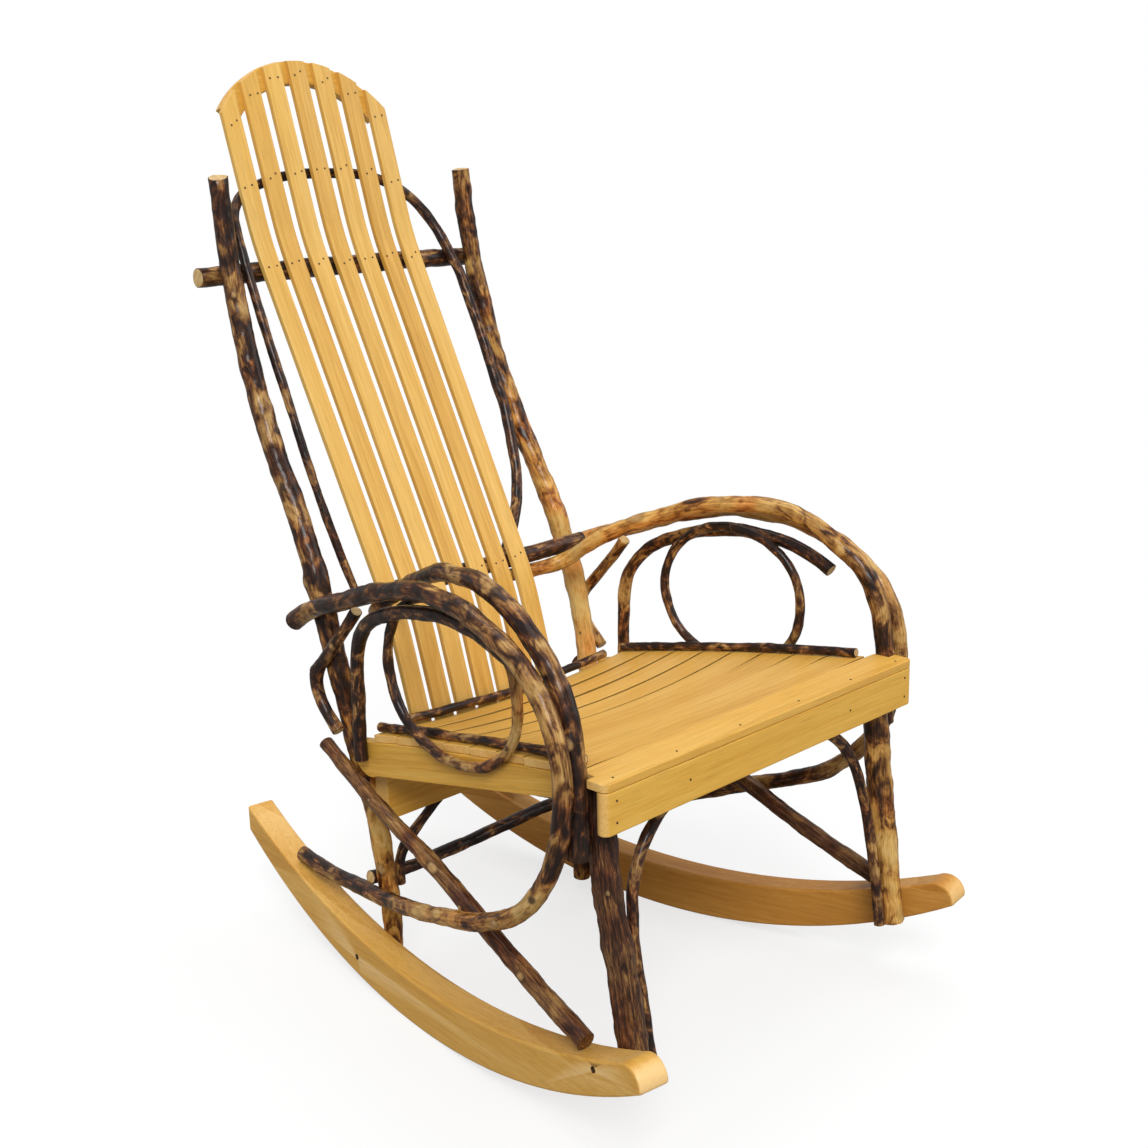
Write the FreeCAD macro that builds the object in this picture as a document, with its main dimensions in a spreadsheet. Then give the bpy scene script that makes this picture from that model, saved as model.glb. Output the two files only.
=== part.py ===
import FreeCAD, Part
import math
import os
from types import SimpleNamespace
from FreeCAD import Placement, Rotation, Vector

# Hickory rocking chair: bent hickory sticks around a slatted oak seat and back.
# The front is -Y, the sitter's left is +X, the floor is z = 0 and x = 0 is halfway between the rockers.
# The left side is drawn, and the right side is its mirror image, but for the rings and the hoop.

doc = FreeCAD.newDocument("HickoryRocker")
sheet = doc.addObject("Spreadsheet::Sheet", "Sizes")

driving_sizes = {
    "clearance": 0.3,
    "apron_length": 570,
    "apron_height": 49,
    "apron_thickness": 18,
    "apron_front": 389.5,
    "seat_front_height": 431,
    "seat_mid_drop": 35,
    "seat_rear_drop": 83,
    "front_leg_spread": 512,
    "rear_leg_spread": 444,
    "leg_run": 485,
    "seat_slat_width": 46.5,
    "seat_slat_thickness": 10,
    "seat_slat_dish": 16,
    "side_rail_thickness": 20,
    "side_rail_front_height": 26,
    "side_rail_rear_height": 46,
    "centre_rail_thickness": 18,
    "centre_rail_height": 25,
    "back_rail_height": 102,
    "rocker_spread": 467,
    "rocker_splay_degrees": 7.9,
    "rocker_contact": -13,
    "rocker_front_reach": 456,
    "rocker_rear_reach": 450,
    "rocker_sole_radius": 902,
    "rocker_top_radius": 1100,
    "rocker_depth": 62,
    "rocker_thickness": 40,
    "rocker_nose_radius": 14,
    "front_leg_foot_radius": 17.5,
    "front_leg_top_radius": 16,
    "front_leg_lean": 38,
    "rear_leg_radius": 12.5,
    "post_radius": 15,
    "post_top_radius": 13,
    "post_rise": 123,
    "post_top_spread": 416,
    "back_lean": 230,
    "upper_bar_height": 934,
    "upper_bar_radius": 13,
    "upper_bar_left": 216,
    "upper_bar_right": 243,
    "lower_bar_height": 527,
    "lower_bar_radius": 11.5,
    "lower_bar_half": 226,
    "back_slat_width": 28.5,
    "back_slat_thickness": 8,
    "back_slat_bottom": 341,
    "back_slat_foot_pitch": 38,
    "back_slat_head_pitch": 42,
    "back_slat_foot_shift": 38,
    "back_slat_head_shift": 10,
    "back_foot_lean_degrees": 18,
    "back_head_lean_degrees": 19,
    "back_bend_radius": 400,
    "back_crown_rise": 276,
    "back_crown_radius": 178,
    "cleat_inset": 8,
    "cleat_end_degrees": 38,
    "cleat_width": 26,
    "cleat_thickness": 12,
    "arm_height": 604,
    "outer_bow_radius": 12,
    "outer_bow_tail_radius": 10.5,
    "inner_bow_radius": 13,
    "inner_bow_tail_radius": 9.5,
    "support_bow_radius": 9,
    "ring_stick_radius": 6.5,
    "left_ring_length": 236,
    "left_ring_height": 200,
    "right_ring_length": 260,
    "right_ring_height": 210,
    "brace_radius": 8,
    "stay_top_radius": 9.5,
    "stay_foot_radius": 12,
    "arch_radius": 7,
    "stretcher_radius": 9,
    "stretcher_height": 142,
    "stretcher_half": 200,
    "hoop_foot_radius": 8.5,
    "hoop_tip_radius": 5.5,
    "hoop_width": 364,
    "trim_radius": 6,
}

for row, (name, number) in enumerate(driving_sizes.items(), start=1):
    sheet.set(f"A{row}", name)
    sheet.set(f"B{row}", str(number))
    sheet.setAlias(f"B{row}", name)
doc.recompute()
size = SimpleNamespace(**{name: float(sheet.get(name)) for name in driving_sizes})

back_slat_count = 7
seat_slat_count = 9
# Sticks have flats instead of a round section, and bends are cut in steps, to keep the facets few.
pole_sides = 16
twig_sides = 12
bend_step_degrees = 14
least_turn = math.radians(0.5)

# Where the legs stand, seen from above.
front_leg_y = -size.apron_front + size.apron_thickness + 3 * size.clearance + size.front_leg_top_radius
rear_leg_y = front_leg_y + size.leg_run
front_leg_x = size.front_leg_spread / 2
rear_leg_x = size.rear_leg_spread / 2
side_slope = (front_leg_x - rear_leg_x) / size.leg_run
side_angle = math.degrees(math.atan(side_slope))

# The posts and the back's crown reach above the upper bar.
post_height = size.upper_bar_height + size.post_rise
crown_height = size.upper_bar_height + size.back_crown_rise


def side_line(y):
    """Half the width between the leg axes at y, at the height of the seat."""
    return front_leg_x - side_slope * (y - front_leg_y)


def bind(item, prop, expression):
    item.setExpression(prop, expression)


def circle_through(a, b, c):
    """Centre and radius, in the (y, z) plane, of the circle through three places."""
    curve = Part.Arc(Vector(0, *a), Vector(0, *b), Vector(0, *c)).toShape().Curve
    return curve.Center.y, curve.Center.z, curve.Radius


# The side rails' top edges, on which the seat slats lie, follow one arc that drops to the rear.
seat_front_place = (front_leg_y, size.seat_front_height)
seat_mid_place = (front_leg_y + size.leg_run / 2, size.seat_front_height - size.seat_mid_drop)
seat_rear_place = (rear_leg_y, size.seat_front_height - size.seat_rear_drop)
seat_arc_y, seat_arc_z, seat_arc_radius = circle_through(seat_front_place, seat_mid_place, seat_rear_place)


def seat_height(y):
    """Height of the rails' top edge at y."""
    return seat_arc_z + math.sqrt(seat_arc_radius ** 2 - (y - seat_arc_y) ** 2)


def seat_tilt(y):
    """Slope of that edge at y, in degrees, negative where it falls to the rear."""
    return -math.degrees(math.asin((y - seat_arc_y) / seat_arc_radius))


# Rockers: two arcs in a vertical board, turned so that the pair stands closer together at the rear.
rocker_slope = math.tan(math.radians(size.rocker_splay_degrees))
rocker_half = size.rocker_thickness / 2
rocker_half_across = rocker_half / math.cos(math.radians(size.rocker_splay_degrees))


def rocker_middle(y):
    """Distance of a rocker's middle from x = 0, at y."""
    return size.rocker_spread / 2 - rocker_slope * (y - size.rocker_contact)


def rocker_inner(y):
    return rocker_middle(y) - rocker_half_across


def along_rocker(y):
    """Reach along the rocker from the place where it touches the floor."""
    return (y - size.rocker_contact) / math.cos(math.radians(size.rocker_splay_degrees))


def rocker_sole(y):
    reach = along_rocker(y)
    return size.rocker_sole_radius - math.sqrt(size.rocker_sole_radius ** 2 - reach ** 2)


def rocker_top(y):
    reach = along_rocker(y)
    return size.rocker_depth + size.rocker_top_radius - math.sqrt(size.rocker_top_radius ** 2 - reach ** 2)


# The rear legs and the back posts are one bent stick each.
# Each place is a share of the lean behind the rear leg, of the post's height and of the way from foot to top spread.
post_shares = (
    (-0.060, 0.013),
    (-0.070, 0.090),
    (-0.085, 0.150),
    (-0.110, 0.215),
    (0.000, 0.358),
    (0.185, 0.495),
    (0.310, 0.560),
    (0.660, 0.692),
    (0.810, 0.780),
    (0.965, 0.915),
    (1.000, 1.000),
)
rear_foot_y = rear_leg_y + post_shares[0][0] * size.back_lean
splay_across = math.cos(math.radians(size.rocker_splay_degrees))
rear_foot_x = rocker_inner(rear_foot_y) - (size.rear_leg_radius + 2 * size.clearance) / splay_across
rear_ankle_z = rocker_top(rear_foot_y) + 2 * size.rear_leg_radius


def post_x(z):
    """Distance of the rear leg's or post's axis from x = 0, at z."""
    seat_z = seat_rear_place[1]
    if z < rear_ankle_z:
        return rear_foot_x
    if z < seat_z:
        return rear_foot_x + (rear_leg_x - rear_foot_x) * (z - rear_ankle_z) / (seat_z - rear_ankle_z)
    if z < size.lower_bar_height:
        return rear_leg_x
    share = (z - size.lower_bar_height) / (post_height - size.lower_bar_height)
    return rear_leg_x + (size.post_top_spread / 2 - rear_leg_x) * math.sqrt(share)


def post_place(lean_share, height_share):
    z = height_share * post_height
    return Vector(post_x(z), rear_leg_y + lean_share * size.back_lean, z)


post_route = [post_place(*shares) for shares in post_shares]


def along_route(route, z):
    """The place at height z on the straight runs of a rising route."""
    for low, high in zip(route, route[1:]):
        if low.z <= z <= high.z:
            return low + (high - low) * ((z - low.z) / (high.z - low.z))
    return route[-1] if z > route[-1].z else route[0]


def post_radius(z):
    """Radius of the post at z: thin at the foot, thickest behind the arms, thinner again at the top."""
    middle = post_route[6].z
    if z < middle:
        return size.rear_leg_radius + (size.post_radius - size.rear_leg_radius) * z / middle
    share = (z - middle) / (post_height - middle)
    return size.post_radius + (size.post_top_radius - size.post_radius) * share


def angle_between(first, second):
    return math.atan2(first.cross(second).Length, first.dot(second))


def swing(first, second):
    """The turn that takes one direction to another."""
    angle = angle_between(first, second)
    return Rotation(first.cross(second), math.degrees(angle)) if angle > least_turn / 100 else Rotation()


def bend_stations(points, closed=False):
    """Places along a route whose corners are rounded, each with the direction the stick runs there."""
    run_share = 0.45
    count = len(points)
    stations = []
    if not closed:
        stations.append((points[0], points[1] - points[0]))
    corners = range(count) if closed else range(1, count - 1)
    for i in corners:
        corner = points[i]
        before = corner - points[i - 1]
        after = points[(i + 1) % count] - corner
        reach = run_share * min(before.Length, after.Length)
        turn = angle_between(before, after)
        if turn < least_turn:
            stations.append((corner, after))
            continue
        start = corner - before * (reach / before.Length)
        end = corner + after * (reach / after.Length)
        inward = (start + end) / 2 - corner
        centre = corner + inward * (math.hypot(reach, reach / math.tan(turn / 2)) / inward.Length)
        steps = max(1, round(math.degrees(turn) / bend_step_degrees))
        for step in range(steps + 1):
            spin = Rotation(before.cross(after), math.degrees(turn) * step / steps)
            stations.append((centre + spin.multVec(start - centre), spin.multVec(before)))
    if not closed:
        stations.append((points[-1], points[-1] - points[-2]))
    return stations


def section(label, place, turn, radius, sides):
    """A section across a stick. Its radius is an expression on the sheet."""
    outline = doc.addObject("Part::RegularPolygon", label)
    outline.Polygon = sides
    bind(outline, "Circumradius", radius)
    outline.Placement = Placement(place, turn)
    return outline


def radius_along(radius_names, share):
    """Sheet expression for the radius at a share of the stick's length, between its named radii."""
    spans = len(radius_names) - 1
    if spans == 0:
        return f"Sizes.{radius_names[0]}"
    span = min(int(share * spans), spans - 1)
    part_way = share * spans - span
    first, second = radius_names[span], radius_names[span + 1]
    return f"Sizes.{first} + (Sizes.{second} - Sizes.{first}) * {part_way:.4f}"


def stick(label, points, radius_names, sides=twig_sides, closed=False):
    """A bent stick: a ruled loft through sections along the route, tapered between the named radii."""
    stations = bend_stations(points, closed)
    lengths = [0]
    for (place, _), (following, _) in zip(stations, stations[1:]):
        lengths.append(lengths[-1] + (following - place).Length)
    turn = Rotation(Vector(0, 0, 1), stations[0][1])
    heading = stations[0][1]
    sections = []
    for index, (place, direction) in enumerate(stations):
        turn = swing(heading, direction).multiply(turn)
        heading = direction
        radius = radius_along(radius_names, lengths[index] / lengths[-1])
        sections.append(section(f"{label}_section_{index + 1}", place, turn, radius, sides))
    loft = doc.addObject("Part::Loft", label)
    loft.Sections = sections
    loft.Solid = True
    loft.Ruled = True
    loft.Closed = closed
    loft.Label = label
    parts.append(loft)
    return loft


def mirrored(source, label):
    """The right-hand twin of a left-hand piece."""
    twin = doc.addObject("Part::Mirroring", label)
    twin.Source = source
    twin.Normal = (1, 0, 0)
    twin.Base = (0, 0, 0)
    twin.Label = label
    parts.append(twin)
    return twin


def plane_of(body, role):
    return next(item for item in body.Origin.OriginFeatures if item.Role == role)


def new_body(label, role, geometry, offset=0):
    """A body with one sketch on an origin plane."""
    body = doc.addObject("PartDesign::Body", label)
    body.Label = label
    sketch = new_sketch(body, label + "_outline", role, geometry, offset)
    parts.append(body)
    return body, sketch


def new_sketch(body, label, role, geometry, offset=0):
    sketch = body.newObject("Sketcher::SketchObject", label)
    sketch.AttachmentSupport = (plane_of(body, role), [""])
    sketch.MapMode = "FlatFace"
    sketch.AttachmentOffset = Placement(Vector(0, 0, offset), Rotation())
    sketch.addGeometry(geometry, False)
    return sketch


def pad(body, sketch, length_name):
    feature = body.newObject("PartDesign::Pad", sketch.Label + "_pad")
    feature.Profile = sketch
    feature.Midplane = True
    bind(feature, "Length", f"Sizes.{length_name}")
    body.Tip = feature
    return feature


def chain(points):
    """Closed straight outline through sketch places."""
    ends = points[1:] + points[:1]
    return [Part.LineSegment(Vector(*a, 0), Vector(*b, 0)) for a, b in zip(points, ends)]


def line(a, b):
    return Part.LineSegment(Vector(*a, 0), Vector(*b, 0))


def arc(a, middle, b):
    return Part.Arc(Vector(*a, 0), Vector(*middle, 0), Vector(*b, 0))


parts = []


def make_rockers():
    """Rocker boards with a sole arc, a flatter top arc and a rounded nose."""
    front = -size.rocker_front_reach
    rear = size.rocker_rear_reach
    sole = size.rocker_sole_radius
    top = size.rocker_top_radius

    def sole_z(u):
        return sole - math.sqrt(sole ** 2 - u ** 2)

    def top_z(u):
        return size.rocker_depth + top - math.sqrt(top ** 2 - u ** 2)

    nose_drop = (top_z(front) - sole_z(front)) / 2
    nose_low = (front, sole_z(front))
    nose_mid = (front + size.rocker_nose_radius / 2, sole_z(front) + nose_drop)
    nose_high = (front + 2 * nose_drop, top_z(front + 2 * nose_drop))
    outline = [
        arc((rear, sole_z(rear)), (0, 0), nose_low),
        arc(nose_low, nose_mid, nose_high),
        arc(nose_high, (0, size.rocker_depth), (rear, top_z(rear))),
        line((rear, top_z(rear)), (rear, sole_z(rear))),
    ]
    body, sketch = new_body("left_rocker", "YZ_Plane", outline)
    pad(body, sketch, "rocker_thickness")
    body.Placement = Placement(Vector(size.rocker_spread / 2, size.rocker_contact, 0),
                               Rotation(Vector(0, 0, 1), size.rocker_splay_degrees))
    mirrored(body, "right_rocker")


# Front legs stand upright behind the apron and lean forward below it, to the rockers' inner faces.
front_foot_y = front_leg_y - size.front_leg_lean
front_foot_z = rocker_sole(front_foot_y) + size.front_leg_foot_radius / 4
front_ankle_z = rocker_top(front_foot_y) + size.front_leg_foot_radius
front_foot_x = rocker_inner(front_foot_y) - (size.front_leg_foot_radius + 4 * size.clearance) / splay_across
front_knee_shares = (0.55, 0.60)


def front_leg_route():
    head = Vector(front_leg_x, front_leg_y, size.seat_front_height)
    below_apron = Vector(head.x, head.y, head.z - size.apron_height - 3 * size.front_leg_top_radius)
    rise_to_ankle = (front_ankle_z - front_foot_z) / (below_apron.z - front_foot_z)
    foot = Vector(front_foot_x, front_foot_y, front_foot_z)
    ankle = Vector(front_foot_x, front_foot_y + rise_to_ankle * size.front_leg_lean, front_ankle_z)
    across, up = front_knee_shares
    knee = Vector(ankle.x + across * (head.x - ankle.x), front_foot_y + up * size.front_leg_lean,
                  ankle.z + across * (below_apron.z - ankle.z))
    return [foot, ankle, knee, below_apron, head]


def make_legs():
    leg = stick("left_front_leg", front_leg_route(), ("front_leg_foot_radius", "front_leg_top_radius"),
                sides=pole_sides)
    mirrored(leg, "right_front_leg")
    post = stick("left_back_post", post_route, ("rear_leg_radius", "post_radius", "post_top_radius"),
                 sides=pole_sides)
    mirrored(post, "right_back_post")


# Cross bars: the upper one lies behind the posts, the lower one in front of them.
bar_sag = size.lower_bar_radius / 4
upper_post = along_route(post_route, size.upper_bar_height - bar_sag)
lower_post = along_route(post_route, size.lower_bar_height)
post_lean = math.atan2(size.back_lean, post_height - seat_rear_place[1])
upper_bar_y = upper_post.y + (post_radius(size.upper_bar_height) + size.upper_bar_radius
                              + size.clearance) / math.cos(post_lean / 2)
lower_bar_y = lower_post.y - (post_radius(size.lower_bar_height) + size.lower_bar_radius
                              + size.clearance) / math.cos(post_lean)


def make_cross_bars():
    upper = [Vector(-size.upper_bar_right, upper_bar_y, size.upper_bar_height - bar_sag),
             Vector(0, upper_bar_y, size.upper_bar_height),
             Vector(size.upper_bar_left, upper_bar_y, size.upper_bar_height - bar_sag)]
    stick("upper_cross_bar", upper, ("upper_bar_radius",), sides=pole_sides)
    lower = [Vector(-size.lower_bar_half, lower_bar_y, size.lower_bar_height),
             Vector(0, lower_bar_y, size.lower_bar_height - bar_sag),
             Vector(size.lower_bar_half, lower_bar_y, size.lower_bar_height)]
    stick("lower_cross_bar", lower, ("lower_bar_radius",), sides=pole_sides)


# The back slats lie on the front of both cross bars, and bend below the lower one and above the upper one.
bar_rise = size.upper_bar_height - size.lower_bar_height
bar_run = upper_bar_y - lower_bar_y
back_lean_angle = math.atan2(bar_run, bar_rise) - math.asin(
    (size.upper_bar_radius - size.lower_bar_radius) / math.hypot(bar_run, bar_rise))


def slat_back_path():
    """The (y, z) places of the slats' rear face, from the foot up, with the two bends as arcs."""
    lean = back_lean_angle
    foot_lean = math.radians(size.back_foot_lean_degrees)
    head_lean = math.radians(size.back_head_lean_degrees)
    radius = size.back_bend_radius
    gap = size.clearance
    low = (lower_bar_y - (size.lower_bar_radius + gap) * math.cos(lean),
           size.lower_bar_height + (size.lower_bar_radius + gap) * math.sin(lean))
    high = (upper_bar_y - (size.upper_bar_radius + gap) * math.cos(lean),
            size.upper_bar_height + (size.upper_bar_radius + gap) * math.sin(lean))

    def on_low_bend(angle):
        return (low[0] - radius * (math.cos(angle) - math.cos(lean)),
                low[1] - radius * (math.sin(lean) - math.sin(angle)))

    def on_high_bend(angle):
        return (high[0] + radius * (math.cos(angle) - math.cos(lean)),
                high[1] + radius * (math.sin(lean) - math.sin(angle)))

    bend_foot = on_low_bend(foot_lean)
    bend_head = on_high_bend(head_lean)
    foot = (bend_foot[0] - (bend_foot[1] - size.back_slat_bottom) * math.tan(foot_lean), size.back_slat_bottom)
    head = (bend_head[0] + (crown_height - bend_head[1]) * math.tan(head_lean), crown_height)
    return SimpleNamespace(foot=foot, bend_foot=bend_foot, low_middle=on_low_bend((lean + foot_lean) / 2),
                           low=low, high=high, high_middle=on_high_bend((lean + head_lean) / 2),
                           bend_head=bend_head, head=head, foot_lean=foot_lean, head_lean=head_lean)


back = slat_back_path()


def slat_back_y(z):
    """Where the slats' rear face is, at z."""
    if z > back.bend_head[1]:
        return back.bend_head[0] + (z - back.bend_head[1]) * math.tan(back.head_lean)
    if z > back.low[1]:
        return back.low[0] + (z - back.low[1]) * math.tan(back_lean_angle)
    return back.bend_foot[0] - (back.bend_foot[1] - z) * math.tan(back.foot_lean)


def slat_front_y(z):
    return slat_back_y(z) - size.back_slat_thickness / math.cos(back.foot_lean)


def shifted(place, lean):
    """The place on the slats' front face across from one on the rear face."""
    return (place[0] - size.back_slat_thickness * math.cos(lean), place[1] + size.back_slat_thickness * math.sin(lean))


def slat_outline():
    """Side view of one back slat."""
    middle_low_lean = (back_lean_angle + back.foot_lean) / 2
    middle_high_lean = (back_lean_angle + back.head_lean) / 2
    front = [shifted(back.foot, back.foot_lean), shifted(back.bend_foot, back.foot_lean),
             shifted(back.low_middle, middle_low_lean), shifted(back.low, back_lean_angle),
             shifted(back.high, back_lean_angle), shifted(back.high_middle, middle_high_lean),
             shifted(back.bend_head, back.head_lean), shifted(back.head, back.head_lean)]
    return [
        line(back.foot, back.bend_foot),
        arc(back.bend_foot, back.low_middle, back.low),
        line(back.low, back.high),
        arc(back.high, back.high_middle, back.bend_head),
        line(back.bend_head, back.head),
        line(back.head, front[7]),
        line(front[7], front[6]),
        arc(front[6], front[5], front[4]),
        line(front[4], front[3]),
        arc(front[3], front[2], front[1]),
        line(front[1], front[0]),
        line(front[0], back.foot),
    ]


def make_crown_trimmer():
    """The space under the rounded crown of the back: a disc with a block below it."""
    reach = size.back_lean * 4
    centre_z = crown_height - size.back_crown_radius
    disc = doc.addObject("Part::Cylinder", "crown_disc")
    bind(disc, "Radius", "Sizes.back_crown_radius")
    disc.Height = reach
    disc.Placement = Placement(Vector(-size.back_slat_head_shift, -reach / 4, centre_z),
                               Rotation(Vector(1, 0, 0), -90))
    block = doc.addObject("Part::Box", "crown_block")
    block.Length = 2 * size.back_crown_radius
    block.Width = reach
    block.Height = centre_z
    block.Placement = Placement(Vector(-size.back_slat_head_shift - size.back_crown_radius, -reach / 4, 0),
                                Rotation())
    trimmer = doc.addObject("Part::Fuse", "crown_trimmer")
    trimmer.Base = disc
    trimmer.Tool = block
    return trimmer


def make_back_slats():
    """Seven slats that fan out towards the crown, cut to one arch at the top."""
    trimmer = make_crown_trimmer()
    length = crown_height - size.back_slat_bottom
    for index in range(back_slat_count):
        step = index - (back_slat_count - 1) / 2
        foot_x = -size.back_slat_foot_shift - step * size.back_slat_foot_pitch
        head_x = -size.back_slat_head_shift - step * size.back_slat_head_pitch
        fan = math.degrees(math.atan2(head_x - foot_x, length))
        label = f"back_slat_{index + 1}"
        blank = doc.addObject("Part::Extrusion", label + "_blank")
        profile = doc.addObject("Sketcher::SketchObject", label + "_side")
        profile.Placement = Placement(Vector(0, 0, 0), Rotation(Vector(1, 1, 1), 120))
        profile.addGeometry(slat_outline(), False)
        blank.Base = profile
        blank.DirMode = "Custom"
        blank.Dir = (1, 0, 0)
        bind(blank, "LengthFwd", "Sizes.back_slat_width / 2")
        bind(blank, "LengthRev", "Sizes.back_slat_width / 2")
        blank.Solid = True
        pivot = Vector(0, 0, size.back_slat_bottom)
        blank.Placement = Placement(Vector(foot_x, 0, 0), Rotation(Vector(0, 1, 0), fan), pivot)
        slat = doc.addObject("Part::Common", label)
        slat.Base = blank
        slat.Tool = trimmer
        slat.Label = label
        parts.append(slat)


def make_top_cleat():
    """The arched strip behind the slats' heads."""
    outer = size.back_crown_radius - size.cleat_inset
    inner = outer - size.cleat_width
    end_angle = math.radians(size.cleat_end_degrees)
    outline = [
        arc((outer * math.cos(end_angle), outer * math.sin(end_angle)), (0, outer),
            (-outer * math.cos(end_angle), outer * math.sin(end_angle))),
        line((-outer * math.cos(end_angle), outer * math.sin(end_angle)),
             (-inner * math.cos(end_angle), inner * math.sin(end_angle))),
        arc((-inner * math.cos(end_angle), inner * math.sin(end_angle)), (0, inner),
            (inner * math.cos(end_angle), inner * math.sin(end_angle))),
        line((inner * math.cos(end_angle), inner * math.sin(end_angle)),
             (outer * math.cos(end_angle), outer * math.sin(end_angle))),
    ]
    body, sketch = new_body("top_cleat", "XZ_Plane", outline)
    pad(body, sketch, "cleat_thickness")
    centre_z = crown_height - size.back_crown_radius * math.cos(back.head_lean)
    stand_off = (2 * size.clearance + size.cleat_thickness / 2) / math.cos(back.head_lean)
    body.Placement = Placement(Vector(-size.back_slat_head_shift, slat_back_y(centre_z) + stand_off, centre_z),
                               Rotation(Vector(1, 0, 0), -size.back_head_lean_degrees))


# The back hoop's sides, from the foot to the top: shares of its half width to the left and to the right,
# and heights as shares of the post.
hoop_shares = (
    (0.55, 0.92, 0.500),
    (0.86, 0.96, 0.560),
    (1.01, 0.98, 0.640),
    (1.02, 0.98, 0.730),
    (1.02, 0.98, 0.830),
    (1.00, 0.97, 0.895),
    (0.84, 0.90, 0.968),
    (0.45, 0.45, 1.000),
)


def hoop_y(z):
    """The hoop stands behind the lower bar and in front of the upper one, and behind the slats above it."""
    low = lower_bar_y + size.lower_bar_radius + size.hoop_foot_radius + size.clearance
    high = upper_bar_y - size.upper_bar_radius - size.hoop_foot_radius - 8 * size.clearance
    share = (z - size.lower_bar_height) / (size.upper_bar_height - size.lower_bar_height)
    if z < size.upper_bar_height + size.upper_bar_radius:
        return low + (high - low) * share
    return slat_back_y(z) + (size.hoop_foot_radius + size.clearance) / math.cos(back.head_lean)


def make_back_hoop():
    half = size.hoop_width / 2
    left = [Vector(to_left * half, hoop_y(up * post_height), up * post_height) for to_left, _, up in hoop_shares]
    right = [Vector(-to_right * half, hoop_y(up * post_height), up * post_height)
             for _, to_right, up in reversed(hoop_shares)]
    shift = Vector(-size.back_slat_head_shift / 2, 0, 0)
    stick("back_hoop", [place + shift for place in left + right], ("hoop_foot_radius", "hoop_tip_radius"))


def make_apron():
    """The board across the front, with rounded ends."""
    half = size.apron_length / 2
    corner = size.apron_thickness / 2
    low = -size.apron_thickness
    outline = [
        line((-half + corner, 0), (half - corner, 0)),
        arc((half - corner, 0), (half, low / 2), (half - corner, low)),
        line((half - corner, low), (-half + corner, low)),
        arc((-half + corner, low), (-half, low / 2), (-half + corner, 0)),
    ]
    body, sketch = new_body("front_apron", "XY_Plane", outline)
    pad(body, sketch, "apron_height")
    rear_y = -size.apron_front + size.apron_thickness
    body.Placement = Placement(Vector(0, rear_y, size.seat_front_height - size.clearance - size.apron_height / 2),
                               Rotation())


def make_side_rails():
    """Boards from leg to leg that carry the slats' ends, deeper at the rear and rounded below."""
    scale = 1 / math.cos(math.radians(side_angle))
    front_y = front_leg_y + size.front_leg_top_radius + size.clearance
    rear_y = side_rail_rear_y
    middle_y = (front_y + rear_y) / 2
    corner = size.side_rail_rear_height / 2

    def place(y, drop):
        return ((y - front_leg_y) * scale, seat_height(y) - drop)

    low_front = place(front_y, size.side_rail_front_height)
    low_turn = place(rear_y - 2 * corner, size.side_rail_rear_height)
    low_end = place(rear_y, corner)
    turn_middle = place(rear_y - corner / 2, size.side_rail_rear_height - corner / 3)
    outline = [
        arc(place(front_y, 0), place(middle_y, 0), place(rear_y, 0)),
        line(place(rear_y, 0), low_end),
        arc(low_end, turn_middle, low_turn),
        line(low_turn, low_front),
        line(low_front, place(front_y, 0)),
    ]
    body, sketch = new_body("left_side_rail", "YZ_Plane", outline)
    pad(body, sketch, "side_rail_thickness")
    body.Placement = Placement(Vector(front_leg_x, front_leg_y, 0), Rotation(Vector(0, 0, 1), side_angle))
    mirrored(body, "right_side_rail")


rail_foot_z = seat_rear_place[1] - size.side_rail_rear_height / 2
side_rail_rear_y = (along_route(post_route, rail_foot_z).y
                    - post_radius(rail_foot_z) / math.cos(post_lean) - size.clearance)
back_rail_top = back.foot[1] + size.back_slat_thickness
back_rail_front = slat_back_y(back_rail_top) + size.clearance
back_rail_foot = along_route(post_route, back_rail_top - size.back_rail_height)
back_rail_rear = back_rail_foot.y - (post_radius(back_rail_foot.z) + size.clearance) / math.cos(post_lean / 2)


def make_back_rail():
    """The board across the rear legs' fronts, which the feet of the back slats are nailed to."""
    half = side_line(back_rail_rear) - size.side_rail_thickness / 2 - 2 * size.clearance
    box = doc.addObject("Part::Box", "back_rail")
    box.Length = 2 * half
    box.Width = back_rail_rear - back_rail_front
    bind(box, "Height", "Sizes.back_rail_height")
    box.Placement = Placement(Vector(-half, back_rail_front, back_rail_top - size.back_rail_height), Rotation())
    box.Label = "back_rail"
    parts.append(box)


# Seat slats: the front one lies flat on the apron, the others span the side rails and dip in the middle.
front_slat_rear_y = front_leg_y + size.front_leg_top_radius - 2 * size.clearance
seat_rear_edge = slat_front_y(seat_height(rear_leg_y)) - size.clearance
slat_space = seat_rear_edge - (front_slat_rear_y + size.apron_thickness / 3)
slat_pitch = (slat_space - size.seat_slat_width) / (seat_slat_count - 2)
dish_shares = (0.25, 0.55, 0.80, 1.0, 1.0, 0.95, 0.85, 0.75)


def slat_middle_y(index):
    """Middle of a slat's width, for the slats behind the front one, counted from 0."""
    return front_slat_rear_y + size.apron_thickness / 3 + size.seat_slat_width / 2 + index * slat_pitch


def slat_dish(index):
    return dish_shares[index] * size.seat_slat_dish


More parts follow.
